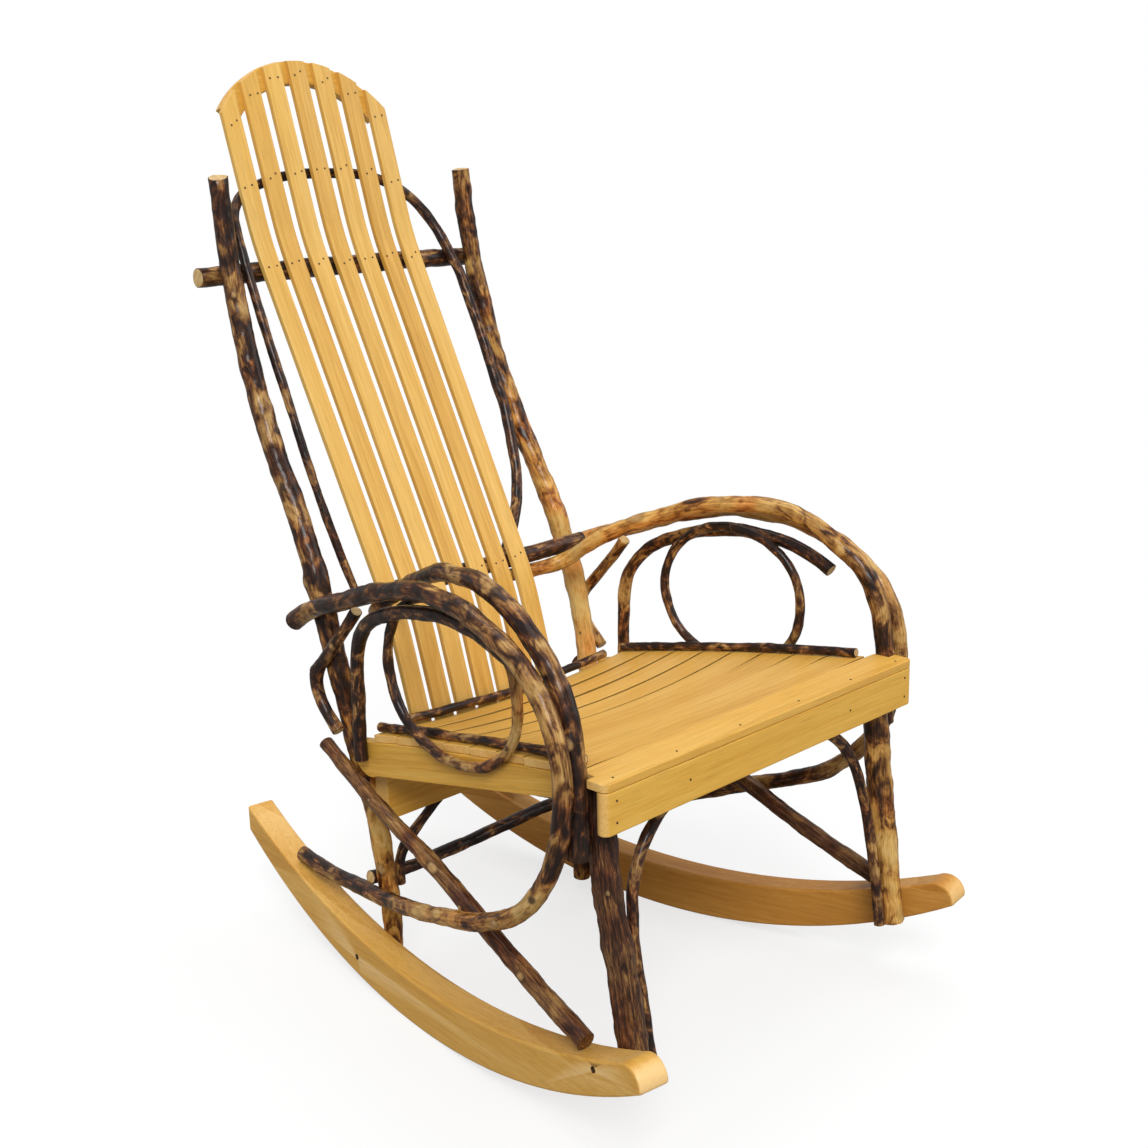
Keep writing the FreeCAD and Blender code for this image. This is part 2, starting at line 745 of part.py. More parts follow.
def make_front_slat():
    """The first slat: it overhangs the apron's ends and is notched round the legs' bows."""
    half = size.apron_length / 2
    notch_x = inner_bow_front_x - size.inner_bow_radius - 3 * size.clearance
    notch_y = inner_bow_front_y - size.inner_bow_radius - 2 * size.clearance
    front_y = -size.apron_front
    corner = size.apron_thickness / 2
    cut = corner * (1 - math.sqrt(0.5))
    outline = [
        line((-half + corner, front_y), (half - corner, front_y)),
        arc((half - corner, front_y), (half - cut, front_y + cut), (half, front_y + corner)),
        line((half, front_y + corner), (half, notch_y)),
        line((half, notch_y), (notch_x, notch_y)),
        line((notch_x, notch_y), (notch_x, front_slat_rear_y)),
        line((notch_x, front_slat_rear_y), (-notch_x, front_slat_rear_y)),
        line((-notch_x, front_slat_rear_y), (-notch_x, notch_y)),
        line((-notch_x, notch_y), (-half, notch_y)),
        line((-half, notch_y), (-half, front_y + corner)),
        arc((-half, front_y + corner), (-half + cut, front_y + cut), (-half + corner, front_y)),
    ]
    body, sketch = new_body("seat_slat_1", "XY_Plane", outline)
    pad(body, sketch, "seat_slat_thickness")
    top_z = size.seat_front_height + size.clearance + size.seat_slat_thickness / 2
    body.Placement = Placement(Vector(0, 0, top_z), Rotation())


def make_seat_slats():
    """Eight bent slats, straight over the rails and dished between them, each tilted with the rails."""
    thick = size.seat_slat_thickness
    for index in range(seat_slat_count - 1):
        y = slat_middle_y(index)
        rear_y = y + size.seat_slat_width / 2
        half = side_line(rear_y) + size.side_rail_thickness / 2
        bend = half - size.side_rail_thickness - 2 * size.clearance
        dish = slat_dish(index)
        outline = [
            line((-half, 0), (-bend, 0)),
            arc((-bend, 0), (0, -dish), (bend, 0)),
            line((bend, 0), (half, 0)),
            line((half, 0), (half, thick)),
            line((half, thick), (bend, thick)),
            arc((bend, thick), (0, thick - dish), (-bend, thick)),
            line((-bend, thick), (-half, thick)),
            line((-half, thick), (-half, 0)),
        ]
        label = f"seat_slat_{index + 2}"
        body, sketch = new_body(label, "XZ_Plane", outline)
        pad(body, sketch, "seat_slat_width")
        body.Placement = Placement(Vector(0, y, seat_height(y) + size.clearance),
                                   Rotation(Vector(1, 0, 0), seat_tilt(y)))


def centre_top(index):
    """Height of the centre rail's top edge under a slat, low enough to clear its neighbours' dish."""
    dish = slat_dish(index)
    neighbours = [slat_dish(i) for i in (index - 1, index + 1) if 0 <= i < seat_slat_count - 1]
    return seat_height(slat_middle_y(index)) - dish - max(0, dish - min(neighbours)) / 2 - size.clearance


def make_centre_rail():
    """The low board under the middle of the seat, which pulls the slats down."""
    last = seat_slat_count - 2
    reach = size.seat_slat_width / 2
    top = [(slat_middle_y(i), centre_top(i)) for i in range(last + 1)]
    front_y = top[0][0] - reach
    rear_y = slat_front_y(size.back_slat_bottom) - 2 * size.clearance
    rear_slope = math.tan(math.radians(seat_tilt(rear_y)))
    top = [(front_y, top[0][1])] + top[1:last] + [(rear_y, top[last][1] + rear_slope * (rear_y - top[last][0]))]
    middle_y, middle_z = top[last // 2]
    bottom = [(rear_y, top[-1][1] - size.centre_rail_height), (middle_y, middle_z - size.centre_rail_height),
              (front_y, top[0][1] - size.centre_rail_height)]
    body, sketch = new_body("centre_rail", "YZ_Plane", chain(top + bottom))
    pad(body, sketch, "centre_rail_thickness")


# The layers of sticks beside the front leg, from the leg outwards.
inner_bow_front_x = front_leg_x + size.front_leg_top_radius + size.inner_bow_radius + size.clearance
outer_bow_front_x = inner_bow_front_x + size.inner_bow_radius + size.outer_bow_radius + size.clearance
inner_bow_front_y = front_leg_y + size.inner_bow_radius / 2


def run(share):
    """A place between the front leg, 0, and the rear leg, 1."""
    return front_leg_y + share * size.leg_run


def above_seat(share):
    """A height between the rear of the seat, 0, and the arm, 1."""
    seat_z = seat_rear_place[1]
    return seat_z + share * (size.arm_height - seat_z)


def below_seat(share):
    """A height between the floor, 0, and the front of the seat, 1."""
    return share * size.seat_front_height


def outset(y, share):
    """A place outside the side line, 1 being as far out as the outer bow stands at the front."""
    return side_line(y) + share * (outer_bow_front_x - front_leg_x)


def route_of(shares, height):
    """Route of a stick beside the seat from shares of the run, of the height and of the outset."""
    return [Vector(outset(run(a), c), run(a), height(b)) for a, b, c in shares]


# The outer bow: the arm, its front curve, and the long return under the seat to the rocker's rear.
arm_shares = (
    (1.145, 0.589, 0.50),
    (1.045, 0.667, 0.57),
    (0.850, 0.821, 0.66),
    (0.645, 0.960, 0.76),
    (0.445, 1.000, 0.86),
    (0.270, 0.941, 0.95),
    (0.120, 0.809, 0.99),
    (0.025, 0.587, 1.00),
    (-0.005, 0.292, 1.00),
)
return_shares = (
    (0.040, 0.785, 1.00),
    (0.140, 0.631, 0.97),
    (0.290, 0.526, 0.90),
)
leg_cross_share = 0.2985
tail_dip_share = 0.62
# Run along the rocker, and height over it in stick radii.
tail_shares = ((1.25, 2.2), (1.36, 1.0))


def make_outer_bow():
    post_at = along_route(post_route, above_seat(arm_shares[1][1]))
    route = route_of(arm_shares, above_seat) + route_of(return_shares, below_seat)
    beside_post = post_at.x + post_radius(post_at.z) + size.outer_bow_radius + size.clearance
    route[0].x = beside_post
    route[1] = Vector(beside_post, post_at.y, route[1].z)
    crossing = stay_place(stay_cross_share)
    beside_stay = crossing.x + size.stay_foot_radius + size.outer_bow_radius + 3 * size.clearance
    route.append(Vector(beside_stay, crossing.y, crossing.z))
    leg = along_route(post_route, below_seat(leg_cross_share))
    beside_leg = leg.x + post_radius(leg.z) + size.outer_bow_tail_radius + 2 * size.clearance
    route.append(Vector((beside_stay + beside_leg) / 2, (crossing.y + leg.y) / 2,
                        crossing.z - tail_dip_share * (crossing.z - leg.z)))
    route.append(Vector(beside_leg, leg.y, leg.z))
    for along, lift in tail_shares:
        y = run(along)
        route.append(Vector(rocker_middle(y), y,
                            rocker_top(y) + lift * (size.outer_bow_tail_radius + size.clearance)))
    bow = stick("left_outer_arm_bow", route, ("outer_bow_radius", "outer_bow_tail_radius"))
    mirrored(bow, "right_outer_arm_bow")


# The diagonal stay: from behind the rear leg, down and forward to the top of the rocker.
stay_shares = (
    (1.080, 0.779),
    (0.985, 0.725),
    (0.790, 0.633),
    (0.620, 0.572),
    (0.440, 0.493),
    (0.270, 0.397),
    (0.015, 0.294),
)
stay_cross_share = 0.425


def stay_x(share):
    """The stay stands outside the rear leg at its top and on the rocker's middle at its foot."""
    leg = along_route(post_route, below_seat(stay_shares[1][1]))
    top = leg.x + (post_radius(leg.z) + size.stay_top_radius) / splay_across + 2 * size.clearance
    foot = rocker_middle(run(stay_shares[-1][0]))
    return foot + (top - foot) * (share - stay_shares[-1][0]) / (stay_shares[1][0] - stay_shares[-1][0])


def stay_place(share):
    """The stay's place at a share of the run, between the points of its route."""
    for rear, front in zip(stay_shares, stay_shares[1:]):
        if front[0] <= share <= rear[0]:
            part_way = (share - front[0]) / (rear[0] - front[0])
            up = front[1] + part_way * (rear[1] - front[1])
            return Vector(stay_x(share), run(share), below_seat(up))
    return Vector(stay_x(share), run(share), below_seat(stay_shares[-1][1]))


def make_diagonal_stay():
    route = [Vector(stay_x(a), run(a), below_seat(b)) for a, b in stay_shares]
    foot = route[-1]
    slope = math.atan2(route[-2].z - foot.z, route[-2].y - foot.y)
    heel = foot.y + size.stay_foot_radius * math.sin(slope)
    foot.z = rocker_top(heel) + size.stay_foot_radius * math.cos(slope) + size.clearance
    stay = stick("left_diagonal_stay", route, ("stay_top_radius", "stay_foot_radius"))
    mirrored(stay, "right_diagonal_stay")


# The inner bow: up beside the front leg, over as the inner arm, and in behind the back slats.
inner_bow_shares = (
    (0.150, 0.899),
    (0.300, 1.047),
    (0.480, 1.061),
    (0.690, 0.957),
    (0.880, 0.776),
)
inner_bow_foot_share = 0.806
inner_bow_upright_share = 0.469
inner_bow_knuckle_share = 0.717
inner_bow_inset_share = 0.50


def make_inner_bow():
    y = inner_bow_front_y
    beside_leg = inner_bow_front_x - front_leg_x
    end_x = (back_slat_count - 1) / 2 * size.back_slat_foot_pitch - size.back_slat_foot_shift
    inset = inner_bow_front_x - end_x
    route = [Vector(inner_bow_front_x, y, below_seat(inner_bow_foot_share)),
             Vector(inner_bow_front_x, y, above_seat(inner_bow_upright_share))]
    knuckle_y = y + 3 * size.inner_bow_radius / 2
    route.append(Vector(side_line(knuckle_y) + beside_leg, knuckle_y, above_seat(inner_bow_knuckle_share)))
    for a, b in inner_bow_shares:
        x = side_line(run(a)) + beside_leg - inset * inner_bow_inset_share * a ** 2
        route.append(Vector(x, run(a), above_seat(b)))
    end_z = (size.lower_bar_height - bar_sag - size.lower_bar_radius - size.inner_bow_tail_radius
             - size.clearance)
    inside_post = rear_leg_x - 2 * size.post_radius - size.inner_bow_tail_radius
    route.append(Vector(inside_post, lower_bar_y - size.lower_bar_radius, end_z))
    route.append(Vector(end_x, lower_bar_y, end_z))
    bow = stick("left_inner_arm_bow", route, ("inner_bow_radius", "inner_bow_tail_radius"))
    mirrored(bow, "right_inner_arm_bow")


# The support bow: from the rear of the side rail up and forward under the arm.
support_shares = (
    (0.895, -0.038),
    (0.900, 0.245),
    (0.885, 0.528),
    (0.820, 0.700),
    (0.700, 0.800),
    (0.560, 0.873),
    (0.410, 0.882),
    (0.270, 0.825),
    (0.190, 0.741),
)


def make_support_bow():
    on_rail = size.side_rail_thickness / 2 + size.support_bow_radius + size.clearance
    off_ring = 2 * size.ring_stick_radius + 2 * size.clearance
    free_rise_share = 0.528
    full_rise_share = 0.764
    route = []
    for a, b in support_shares:
        y = run(a)
        lift_share = min(1, max(0, (b - free_rise_share) / (full_rise_share - free_rise_share)))
        x = side_line(y) + on_rail + lift_share * off_ring
        route.append(Vector(x, y, above_seat(b)))
    bow = stick("left_arm_support_bow", route, ("support_bow_radius",))
    mirrored(bow, "right_arm_support_bow")


# The ring's outline from its middle, as shares of half its length and of half its height.
ring_turn_shares = ((1.0, 0.0), (0.80, 0.62), (0.20, 1.0), (-0.50, 0.90), (-0.96, 0.42), (-0.96, -0.42),
                    (-0.50, -0.90), (0.20, -1.0), (0.80, -0.66))
ring_middle_share = 0.50


def make_side_ring(label, side, length, height):
    """A twig bent to a ring, which leans on the outside of the side rail and reaches up to the support bow."""
    middle_y = run(ring_middle_share)
    middle_z = seat_height(middle_y) + (height - size.side_rail_front_height) / 2
    on_rail = size.side_rail_thickness / 2 + size.ring_stick_radius + size.clearance
    route = []
    for across, up in ring_turn_shares:
        y = middle_y + across * length / 2
        route.append(Vector(side * (side_line(y) + on_rail), y, middle_z + up * height / 2))
    stick(label, route, ("ring_stick_radius",), closed=True)


# The crooked brace: from under the arm, across the outside of the post, to an elbow and back to the leg.
brace_shares = (
    (0.885, 0.729),
    (0.950, 0.587),
    (1.020, 0.446),
    (1.085, 0.328),
    (1.060, 0.186),
    (0.990, 0.068),
)


def make_crooked_brace():
    route = []
    for a, b in brace_shares:
        z = above_seat(b)
        x = post_x(z) + post_radius(z) + size.brace_radius + 2 * size.clearance
        route.append(Vector(x, run(a), z))
    brace = stick("left_crooked_brace", route, ("brace_radius",))
    mirrored(brace, "right_crooked_brace")


# Arched hoops between the legs, as shares of the front leg's height, from the left foot to the crown.
front_arch_shares = (
    (1.000, 0.215),
    (1.005, 0.420),
    (0.990, 0.600),
    (0.900, 0.745),
    (0.700, 0.855),
    (0.360, 0.905),
)


def make_front_arch():
    """A twig bent between the front legs' inner sides, whose crown is hidden behind the apron."""
    leg_route = front_leg_route()
    route = []
    for across, up in front_arch_shares:
        z = up * size.seat_front_height
        leg = along_route(leg_route, z)
        inside = leg.x - size.front_leg_foot_radius - size.arch_radius - 3 * size.clearance
        behind_apron = -size.apron_front + size.apron_thickness + size.arch_radius + size.clearance
        y = leg.y + (1 - across) * size.arch_radius if up < front_arch_shares[2][1] else max(leg.y, behind_apron)
        route.append(Vector(across * inside, y, z))
    left = route
    right = [Vector(-place.x, place.y, place.z) for place in reversed(left)]
    stick("front_arch", left + right, ("arch_radius",))


rear_arch_shares = (
    (1.00, 0.300),
    (0.98, 0.400),
    (0.72, 0.500),
    (0.36, 0.585),
)


def make_rear_arch():
    """A twig bent between the rear legs' inner sides, with its crown behind the back rail."""
    route = []
    rail_rear = back_rail_rear + size.arch_radius + size.clearance
    for across, up in rear_arch_shares:
        z = up * size.seat_front_height
        leg = along_route(post_route, z)
        inside = leg.x - post_radius(z) - size.arch_radius - size.clearance
        route.append(Vector(across * inside, max(leg.y, rail_rear), z))
    right = [Vector(-place.x, place.y, place.z) for place in reversed(route)]
    stick("rear_arch", route + right, ("arch_radius",))


stretcher_sag_share = 0.72


def make_rear_stretcher():
    """The stick across the rear legs, behind them, low down."""
    leg = along_route(post_route, size.stretcher_height)
    y = leg.y + post_radius(size.stretcher_height) + size.stretcher_radius + size.clearance
    half = size.stretcher_half
    drop = size.stretcher_radius
    route = [Vector(half, y, size.stretcher_height), Vector(0, y, size.stretcher_height - drop / 2),
             Vector(-half * stretcher_sag_share, y, size.stretcher_height - drop),
             Vector(-half, y, size.stretcher_height)]
    stick("rear_stretcher", route, ("stretcher_radius",))


trim_side_shares = (0.06, 0.20, 0.36, 0.52, 0.68, 0.86)
rear_trim_dip_share = 0.8


def make_trims():
    """Twigs nailed along the seat's sides and across its rear, over the slats' ends."""
    lift = size.seat_slat_thickness + size.trim_radius + 3 * size.clearance
    route = []
    for share in trim_side_shares:
        y = run(share)
        route.append(Vector(side_line(y) - size.trim_radius / 2, y, seat_height(y) + lift / math.cos(
            math.radians(seat_tilt(y)))))
    side = stick("left_seat_trim", route, ("trim_radius",))
    mirrored(side, "right_seat_trim")
    z = seat_height(seat_rear_edge) + lift
    low_z = z - size.seat_slat_dish * dish_shares[-1] * rear_trim_dip_share
    y = slat_front_y(low_z) - (size.trim_radius + 2 * size.clearance) / math.cos(back.foot_lean)
    half = side_line(y) - size.side_rail_thickness - 2 * size.trim_radius - size.rear_leg_radius
    rear = [Vector(half, y, z), Vector(half / 3, y, low_z), Vector(-half / 3, y, low_z), Vector(-half, y, z)]
    stick("rear_seat_trim", rear, ("trim_radius",))


make_rockers()
make_legs()
make_cross_bars()
make_back_slats()
make_top_cleat()
make_back_hoop()
make_apron()
make_side_rails()
make_back_rail()
make_front_slat()
make_seat_slats()
make_centre_rail()
make_outer_bow()
make_inner_bow()
make_support_bow()
make_side_ring("left_side_ring", 1, size.left_ring_length, size.left_ring_height)
make_side_ring("right_side_ring", -1, size.right_ring_length, size.right_ring_height)
make_crooked_brace()
make_diagonal_stay()
make_front_arch()
make_rear_arch()
make_rear_stretcher()
make_trims()
doc.recompute()

faulty = [item.Label for item in doc.Objects if {"Invalid", "Error"} & set(item.State)]
if faulty:
    raise RuntimeError("objects that failed: " + ", ".join(faulty))
for item in parts:
    if item.Shape.isNull() or not item.Shape.isValid():
        raise RuntimeError("bad shape: " + item.Label)

os.makedirs("parts", exist_ok=True)
for item in parts:
    item.Shape.exportStep(f"parts/{item.Label}.step")
print(len(parts), "sub-parts written")
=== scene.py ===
import bpy
import math
import numpy as np
from mathutils import Matrix, Vector, noise


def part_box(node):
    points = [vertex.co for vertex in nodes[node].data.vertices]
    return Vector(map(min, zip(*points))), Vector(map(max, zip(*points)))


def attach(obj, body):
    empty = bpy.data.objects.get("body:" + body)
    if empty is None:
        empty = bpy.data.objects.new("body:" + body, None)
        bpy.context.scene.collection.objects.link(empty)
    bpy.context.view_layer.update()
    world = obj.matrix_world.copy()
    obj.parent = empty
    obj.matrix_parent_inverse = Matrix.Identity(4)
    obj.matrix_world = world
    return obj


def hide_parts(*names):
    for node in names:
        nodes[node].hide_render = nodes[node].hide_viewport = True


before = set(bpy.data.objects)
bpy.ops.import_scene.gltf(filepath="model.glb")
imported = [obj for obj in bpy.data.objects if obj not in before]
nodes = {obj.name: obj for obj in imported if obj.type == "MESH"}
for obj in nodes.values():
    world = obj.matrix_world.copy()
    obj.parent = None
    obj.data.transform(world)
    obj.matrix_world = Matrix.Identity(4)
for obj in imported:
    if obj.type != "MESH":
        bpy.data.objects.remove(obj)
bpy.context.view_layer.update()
print("frame loaded,", len(nodes), "nodes")


def deselectAll():
    if bpy.context.object and bpy.context.object.mode != "OBJECT":
        bpy.ops.object.mode_set(mode="OBJECT")
    bpy.ops.object.select_all(action="DESELECT")


def workOn(piece):
    deselectAll()
    piece.select_set(True)
    bpy.context.view_layer.objects.active = piece


def editAll(piece):
    workOn(piece)
    bpy.ops.object.mode_set(mode="EDIT")
    bpy.ops.mesh.select_mode(type="VERT")
    bpy.ops.mesh.select_all(action="SELECT")


def backToObject():
    bpy.ops.object.mode_set(mode="OBJECT")


mergeReach = 0.00001
flatWithin = math.radians(0.4)


def copyOfNode(nodeName, pieceName):
    # the CAD node itself stays as it is, only the copy is merged
    mesh = nodes[nodeName].data.copy()
    mesh.materials.clear()
    piece = bpy.data.objects.new(pieceName, mesh)
    bpy.context.scene.collection.objects.link(piece)
    editAll(piece)
    bpy.ops.mesh.remove_doubles(threshold=mergeReach)
    bpy.ops.mesh.select_all(action="SELECT")
    bpy.ops.mesh.dissolve_limited(angle_limit=flatWithin)
    backToObject()
    return piece


def addModifier(piece, kind, **values):
    workOn(piece)
    bpy.ops.object.modifier_add(type=kind)
    modifier = piece.modifiers[-1]
    for key, value in values.items():
        setattr(modifier, key, value)
    return modifier


def applyModifiers(piece):
    workOn(piece)
    for modifier in list(piece.modifiers):
        bpy.ops.object.modifier_apply(modifier=modifier.name)


def shadeByAngle(piece, degrees):
    workOn(piece)
    bpy.ops.object.shade_smooth_by_angle(angle=math.radians(degrees))


def unit(vector):
    return vector / np.linalg.norm(vector)


def verticesOf(piece):
    flat = np.empty(len(piece.data.vertices) * 3)
    piece.data.vertices.foreach_get("co", flat)
    return flat.reshape(-1, 3)


def putAttribute(piece, name, values):
    values = np.asarray(values, dtype=np.float32)
    kind, key = ("FLOAT_VECTOR", "vector") if values.ndim == 2 else ("FLOAT", "value")
    attribute = piece.data.attributes.new(name, kind, "POINT")
    attribute.data.foreach_set(key, values.ravel())


def finishPiece(piece, slotName, *nodeNames):
    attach(piece, "root")
    if nodeNames:
        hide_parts(*nodeNames)


# a stick's line is read from its CAD node, in steps along it, in metres
traceSettings = {"step": 0.011, "reach": 0.032, "mostSteps": 400, "nearEnd": 1.4, "ringStart": 0.008,
                 "capSides": (12, 16), "capRound": 0.05, "levelWithin": 0.005, "fewestCuts": 5, "flatsToRound": 1.02}


def trianglesOf(node):
    corners = verticesOf(node)
    order = np.empty(len(node.data.polygons) * 3, dtype=int)
    node.data.polygons.foreach_get("vertices", order)
    return corners[order.reshape(-1, 3)]


def endCaps(nodeName):
    # flat round ends are the only faces left whose corners are all equally far from the middle
    probe = copyOfNode(nodeName, "probe")
    caps = []
    for face in probe.data.polygons:
        if len(face.vertices) not in traceSettings["capSides"]:
            continue
        ring = np.array([probe.data.vertices[i].co for i in face.vertices])
        middle = ring.mean(axis=0)
        reach = np.linalg.norm(ring - middle, axis=1)
        if np.ptp(reach) < traceSettings["capRound"] * reach.mean():
            caps.append((middle, -np.array(face.normal)))
    bpy.data.objects.remove(probe, do_unlink=True)
    if len(caps) == 2:
        # a line runs up from its lower end, and a level one from its right end to its left
        levelEnds = abs(caps[0][0][2] - caps[1][0][2]) < traceSettings["levelWithin"]
        caps.sort(key=lambda cap: cap[0][0] if levelEnds else cap[0][2])
    return caps


def cutAcross(triangles, place, heading, reach):
    # middle and mean radius of the section through place, square to heading
    height = (triangles - place) @ heading
    crossing = (height.min(axis=1) < 0) & (height.max(axis=1) >= 0)
    cutTriangles, cutHeight = triangles[crossing], height[crossing]
    if len(cutTriangles) < traceSettings["fewestCuts"]:
        return None
    points, cuts = [], []
    for a, b in ((0, 1), (1, 2), (2, 0)):
        isCut = (cutHeight[:, a] < 0) != (cutHeight[:, b] < 0)
        span = np.where(isCut, cutHeight[:, a] - cutHeight[:, b], 1)
        share = cutHeight[:, a] / span
        points.append(cutTriangles[:, a] + share[:, None] * (cutTriangles[:, b] - cutTriangles[:, a]))
        cuts.append(isCut)
    points, cuts = np.stack(points, axis=1), np.stack(cuts, axis=1)
    order = np.argsort(~cuts, axis=1, kind="stable")
    first = np.take_along_axis(points, order[:, :1, None], axis=1)[:, 0]
    second = np.take_along_axis(points, order[:, 1:2, None], axis=1)[:, 0]
    middle, length = (first + second) / 2, np.linalg.norm(second - first, axis=1)
    near = np.linalg.norm(middle - place, axis=1) < reach
    if near.sum() < traceSettings["fewestCuts"]:
        return None
    middle, length = middle[near], length[near] + 1e-9
    centre = (middle * length[:, None]).sum(axis=0) / length.sum()
    radius = (np.linalg.norm(middle - centre, axis=1) * length).sum() / length.sum()
    return centre, radius * traceSettings["flatsToRound"]


def traceStick(nodeName):
    step, reach = traceSettings["step"], traceSettings["reach"]
    triangles = trianglesOf(nodes[nodeName])
    caps = endCaps(nodeName)
    closed = len(caps) < 2
    if closed:
        low, high = (np.array(corner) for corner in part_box(nodeName))
        start, heading = (low + high) / 2, np.array([0, 1.0, 0])
        start[2] = high[2] - traceSettings["ringStart"]
        place = finish = cutAcross(triangles, start, heading, reach)[0]
    else:
        (place, heading), (finish, _) = caps
    route, radii = [place], []
    for _ in range(traceSettings["mostSteps"]):
        found = cutAcross(triangles, route[-1] + heading * step, heading, reach)
        if found is None:
            break
        heading = unit(found[0] - route[-1])
        route.append(found[0])
        radii.append(found[1])
        if len(route) > 5 and np.linalg.norm(found[0] - finish) < traceSettings["nearEnd"] * step:
            break
    if not closed:
        route.append(finish)
        radii.append(radii[-1])
    return np.array(route), np.array([radii[0]] + radii)[:len(route)], closed


# sticks are bent along the traced line: it swells and shrinks, the bark is lumpy, and it wanders by up to
# a millimetre, to other sides in each run, because Blender shifts noise_vector anew each time it starts
stickShape = {"wander": 0.0012, "wanderScale": 14, "swell": 0.07, "swellScale": 22, "lump": 0.16, "lumpSize": 0.03,
              "lumpDepth": 3, "fade": 6, "smoothness": 4, "roundness": 14, "seedStep": 0.37, "barkShift": 1.37}


def bendStick(nodeName, settings):
    route, radii, closed = traceStick(nodeName)
    seed = sum(map(ord, nodeName)) * stickShape["seedStep"]
    lengths = np.r_[0, np.cumsum(np.linalg.norm(np.diff(route, axis=0), axis=1))]
    shares = lengths / lengths[-1]
    for i in range(1, len(route) - 1):
        fade = min(1, stickShape["fade"] * shares[i], stickShape["fade"] * (1 - shares[i]))
        drift = noise.noise_vector(Vector(route[i]) * stickShape["wanderScale"] + Vector((seed, 0, 0)))
        route[i] += fade * stickShape["wander"] * np.array(drift)
    swelling = np.array([1 + stickShape["swell"] * noise.noise(Vector((length * stickShape["swellScale"], seed, 0)))
                         for length in lengths])
    if closed:
        swelling[0] = swelling[-1]
    deselectAll()
    bpy.ops.curve.primitive_nurbs_path_add(location=(0, 0, 0))
    piece = bpy.context.object
    piece.name = nodeName + "_bark"
    curve = piece.data
    curve.splines.clear()
    spline = curve.splines.new("NURBS")
    spline.points.add(len(route) - 1)
    for point, place, radius, growth in zip(spline.points, route, radii, swelling):
        point.co = (*place, 1)
        point.radius = radius * growth
    spline.order_u = stickShape["smoothness"]
    spline.use_endpoint_u = not closed
    spline.use_cyclic_u = closed
    curve.resolution_u = stickShape["smoothness"]
    curve.bevel_depth = 1
    curve.bevel_resolution = stickShape["roundness"]
    curve.use_fill_caps = not closed
    workOn(piece)
    bpy.ops.object.convert(target="MESH")
    piece.data.materials.clear()
    editAll(piece)
    bpy.ops.mesh.remove_doubles(threshold=mergeReach)
    bpy.ops.mesh.select_all(action="SELECT")
    bpy.ops.mesh.normals_make_consistent(inside=False)
    backToObject()
    lumpy = bpy.data.textures.get("lumps") or bpy.data.textures.new("lumps", "CLOUDS")
    lumpy.noise_scale = stickShape["lumpSize"]
    lumpy.noise_depth = stickShape["lumpDepth"]
    lump = settings.get("lump", stickShape["lump"])
    displace = addModifier(piece, "DISPLACE", strength=lump * float(radii.mean()) * 2, mid_level=0.5,
                           texture_coords="LOCAL")
    displace.texture = lumpy
    applyModifiers(piece)
    return piece, route, closed


slantShape = {"depth": 0.03, "band": 0.002}


def slantTop(piece, slope):
    # the saw came in at a slant, so the top faces the front a little
    places = verticesOf(piece)
    top = places[:, 2].max()
    middle = places[places[:, 2] > top - slantShape["band"]].mean(axis=0)
    share = np.clip((places[:, 2] - top + slantShape["depth"]) / slantShape["depth"], 0, 1)
    places[:, 2] += share * ((places - middle)[:, :2] @ np.array(slope))
    piece.data.vertices.foreach_set("co", places.ravel())
    piece.data.update()


barkShape = {"firstSide": (0.3, 0.2, 0.93), "partSize": 2000, "scarHeight": 0.004, "scarWidth": 0.7,
             "leastSwell": 0.02}


def layBark(piece, route, settings, seed):
    # unrolls the stick: along it, and two ways across it, all in metres
    places = verticesOf(piece)
    tangents = np.gradient(route, axis=0)
    tangents /= np.linalg.norm(tangents, axis=1)[:, None]
    lengths = np.r_[0, np.cumsum(np.linalg.norm(np.diff(route, axis=0), axis=1))]
    side = np.cross(tangents[0], barkShape["firstSide"])
    sides = []
    for tangent in tangents:
        side = unit(side - tangent * (side @ tangent))
        sides.append(side)
    sides = np.array(sides)
    other = np.cross(tangents, sides)
    nearest = np.concatenate([((part[:, None, :] - route[None]) ** 2).sum(axis=2).argmin(axis=1)
                              for part in np.array_split(places, max(1, len(places) // barkShape["partSize"]))])
    offset = places - route[nearest]
    forward = (offset * tangents[nearest]).sum(axis=1)
    along = lengths[nearest] + forward
    across = (offset * sides[nearest]).sum(axis=1)
    through = (offset * other[nearest]).sum(axis=1)
    putAttribute(piece, "barkPlace", np.c_[along + seed, across, through])
    shares = np.clip(along / lengths[-1], 0, 1)
    for name in ("peel", "gold"):
        steps = settings.get(name, (0.0,))
        putAttribute(piece, name, np.interp(shares, np.linspace(0, 1, len(steps)), steps))
    scar, swell = np.zeros(len(places)), np.zeros(len(places))
    outward = offset - tangents[nearest] * forward[:, None]
    radius = np.linalg.norm(outward, axis=1) + 1e-6
    for share, facing, reach, height in settings.get("scars", ()):
        # a negative height is a dark knot, a positive one a pale stub
        facing = unit(np.array(facing, dtype=float))
        flat = facing - tangents[nearest] * (tangents[nearest] @ facing)[:, None]
        flat /= np.linalg.norm(flat, axis=1)[:, None] + 1e-6
        turn = np.arccos(np.clip((outward * flat).sum(axis=1) / radius, -1, 1)) * radius
        width = barkShape["scarWidth"] * reach
        spot = np.exp(-((along - share * lengths[-1]) / reach) ** 2 - (turn / width) ** 2)
        scar += spot * math.copysign(1, height)
        swell += spot * abs(height) / barkShape["scarHeight"]
    putAttribute(piece, "scar", scar)
    if settings.get("scars"):
        group = piece.vertex_groups.new(name="knots")
        for index in np.flatnonzero(swell > barkShape["leastSwell"]):
            group.add([int(index)], float(min(1, swell[index])), "REPLACE")
        addModifier(piece, "DISPLACE", strength=barkShape["scarHeight"], mid_level=0, vertex_group="knots")
        applyModifiers(piece)


cutRim, cutStep = 0.0012, 0.0006


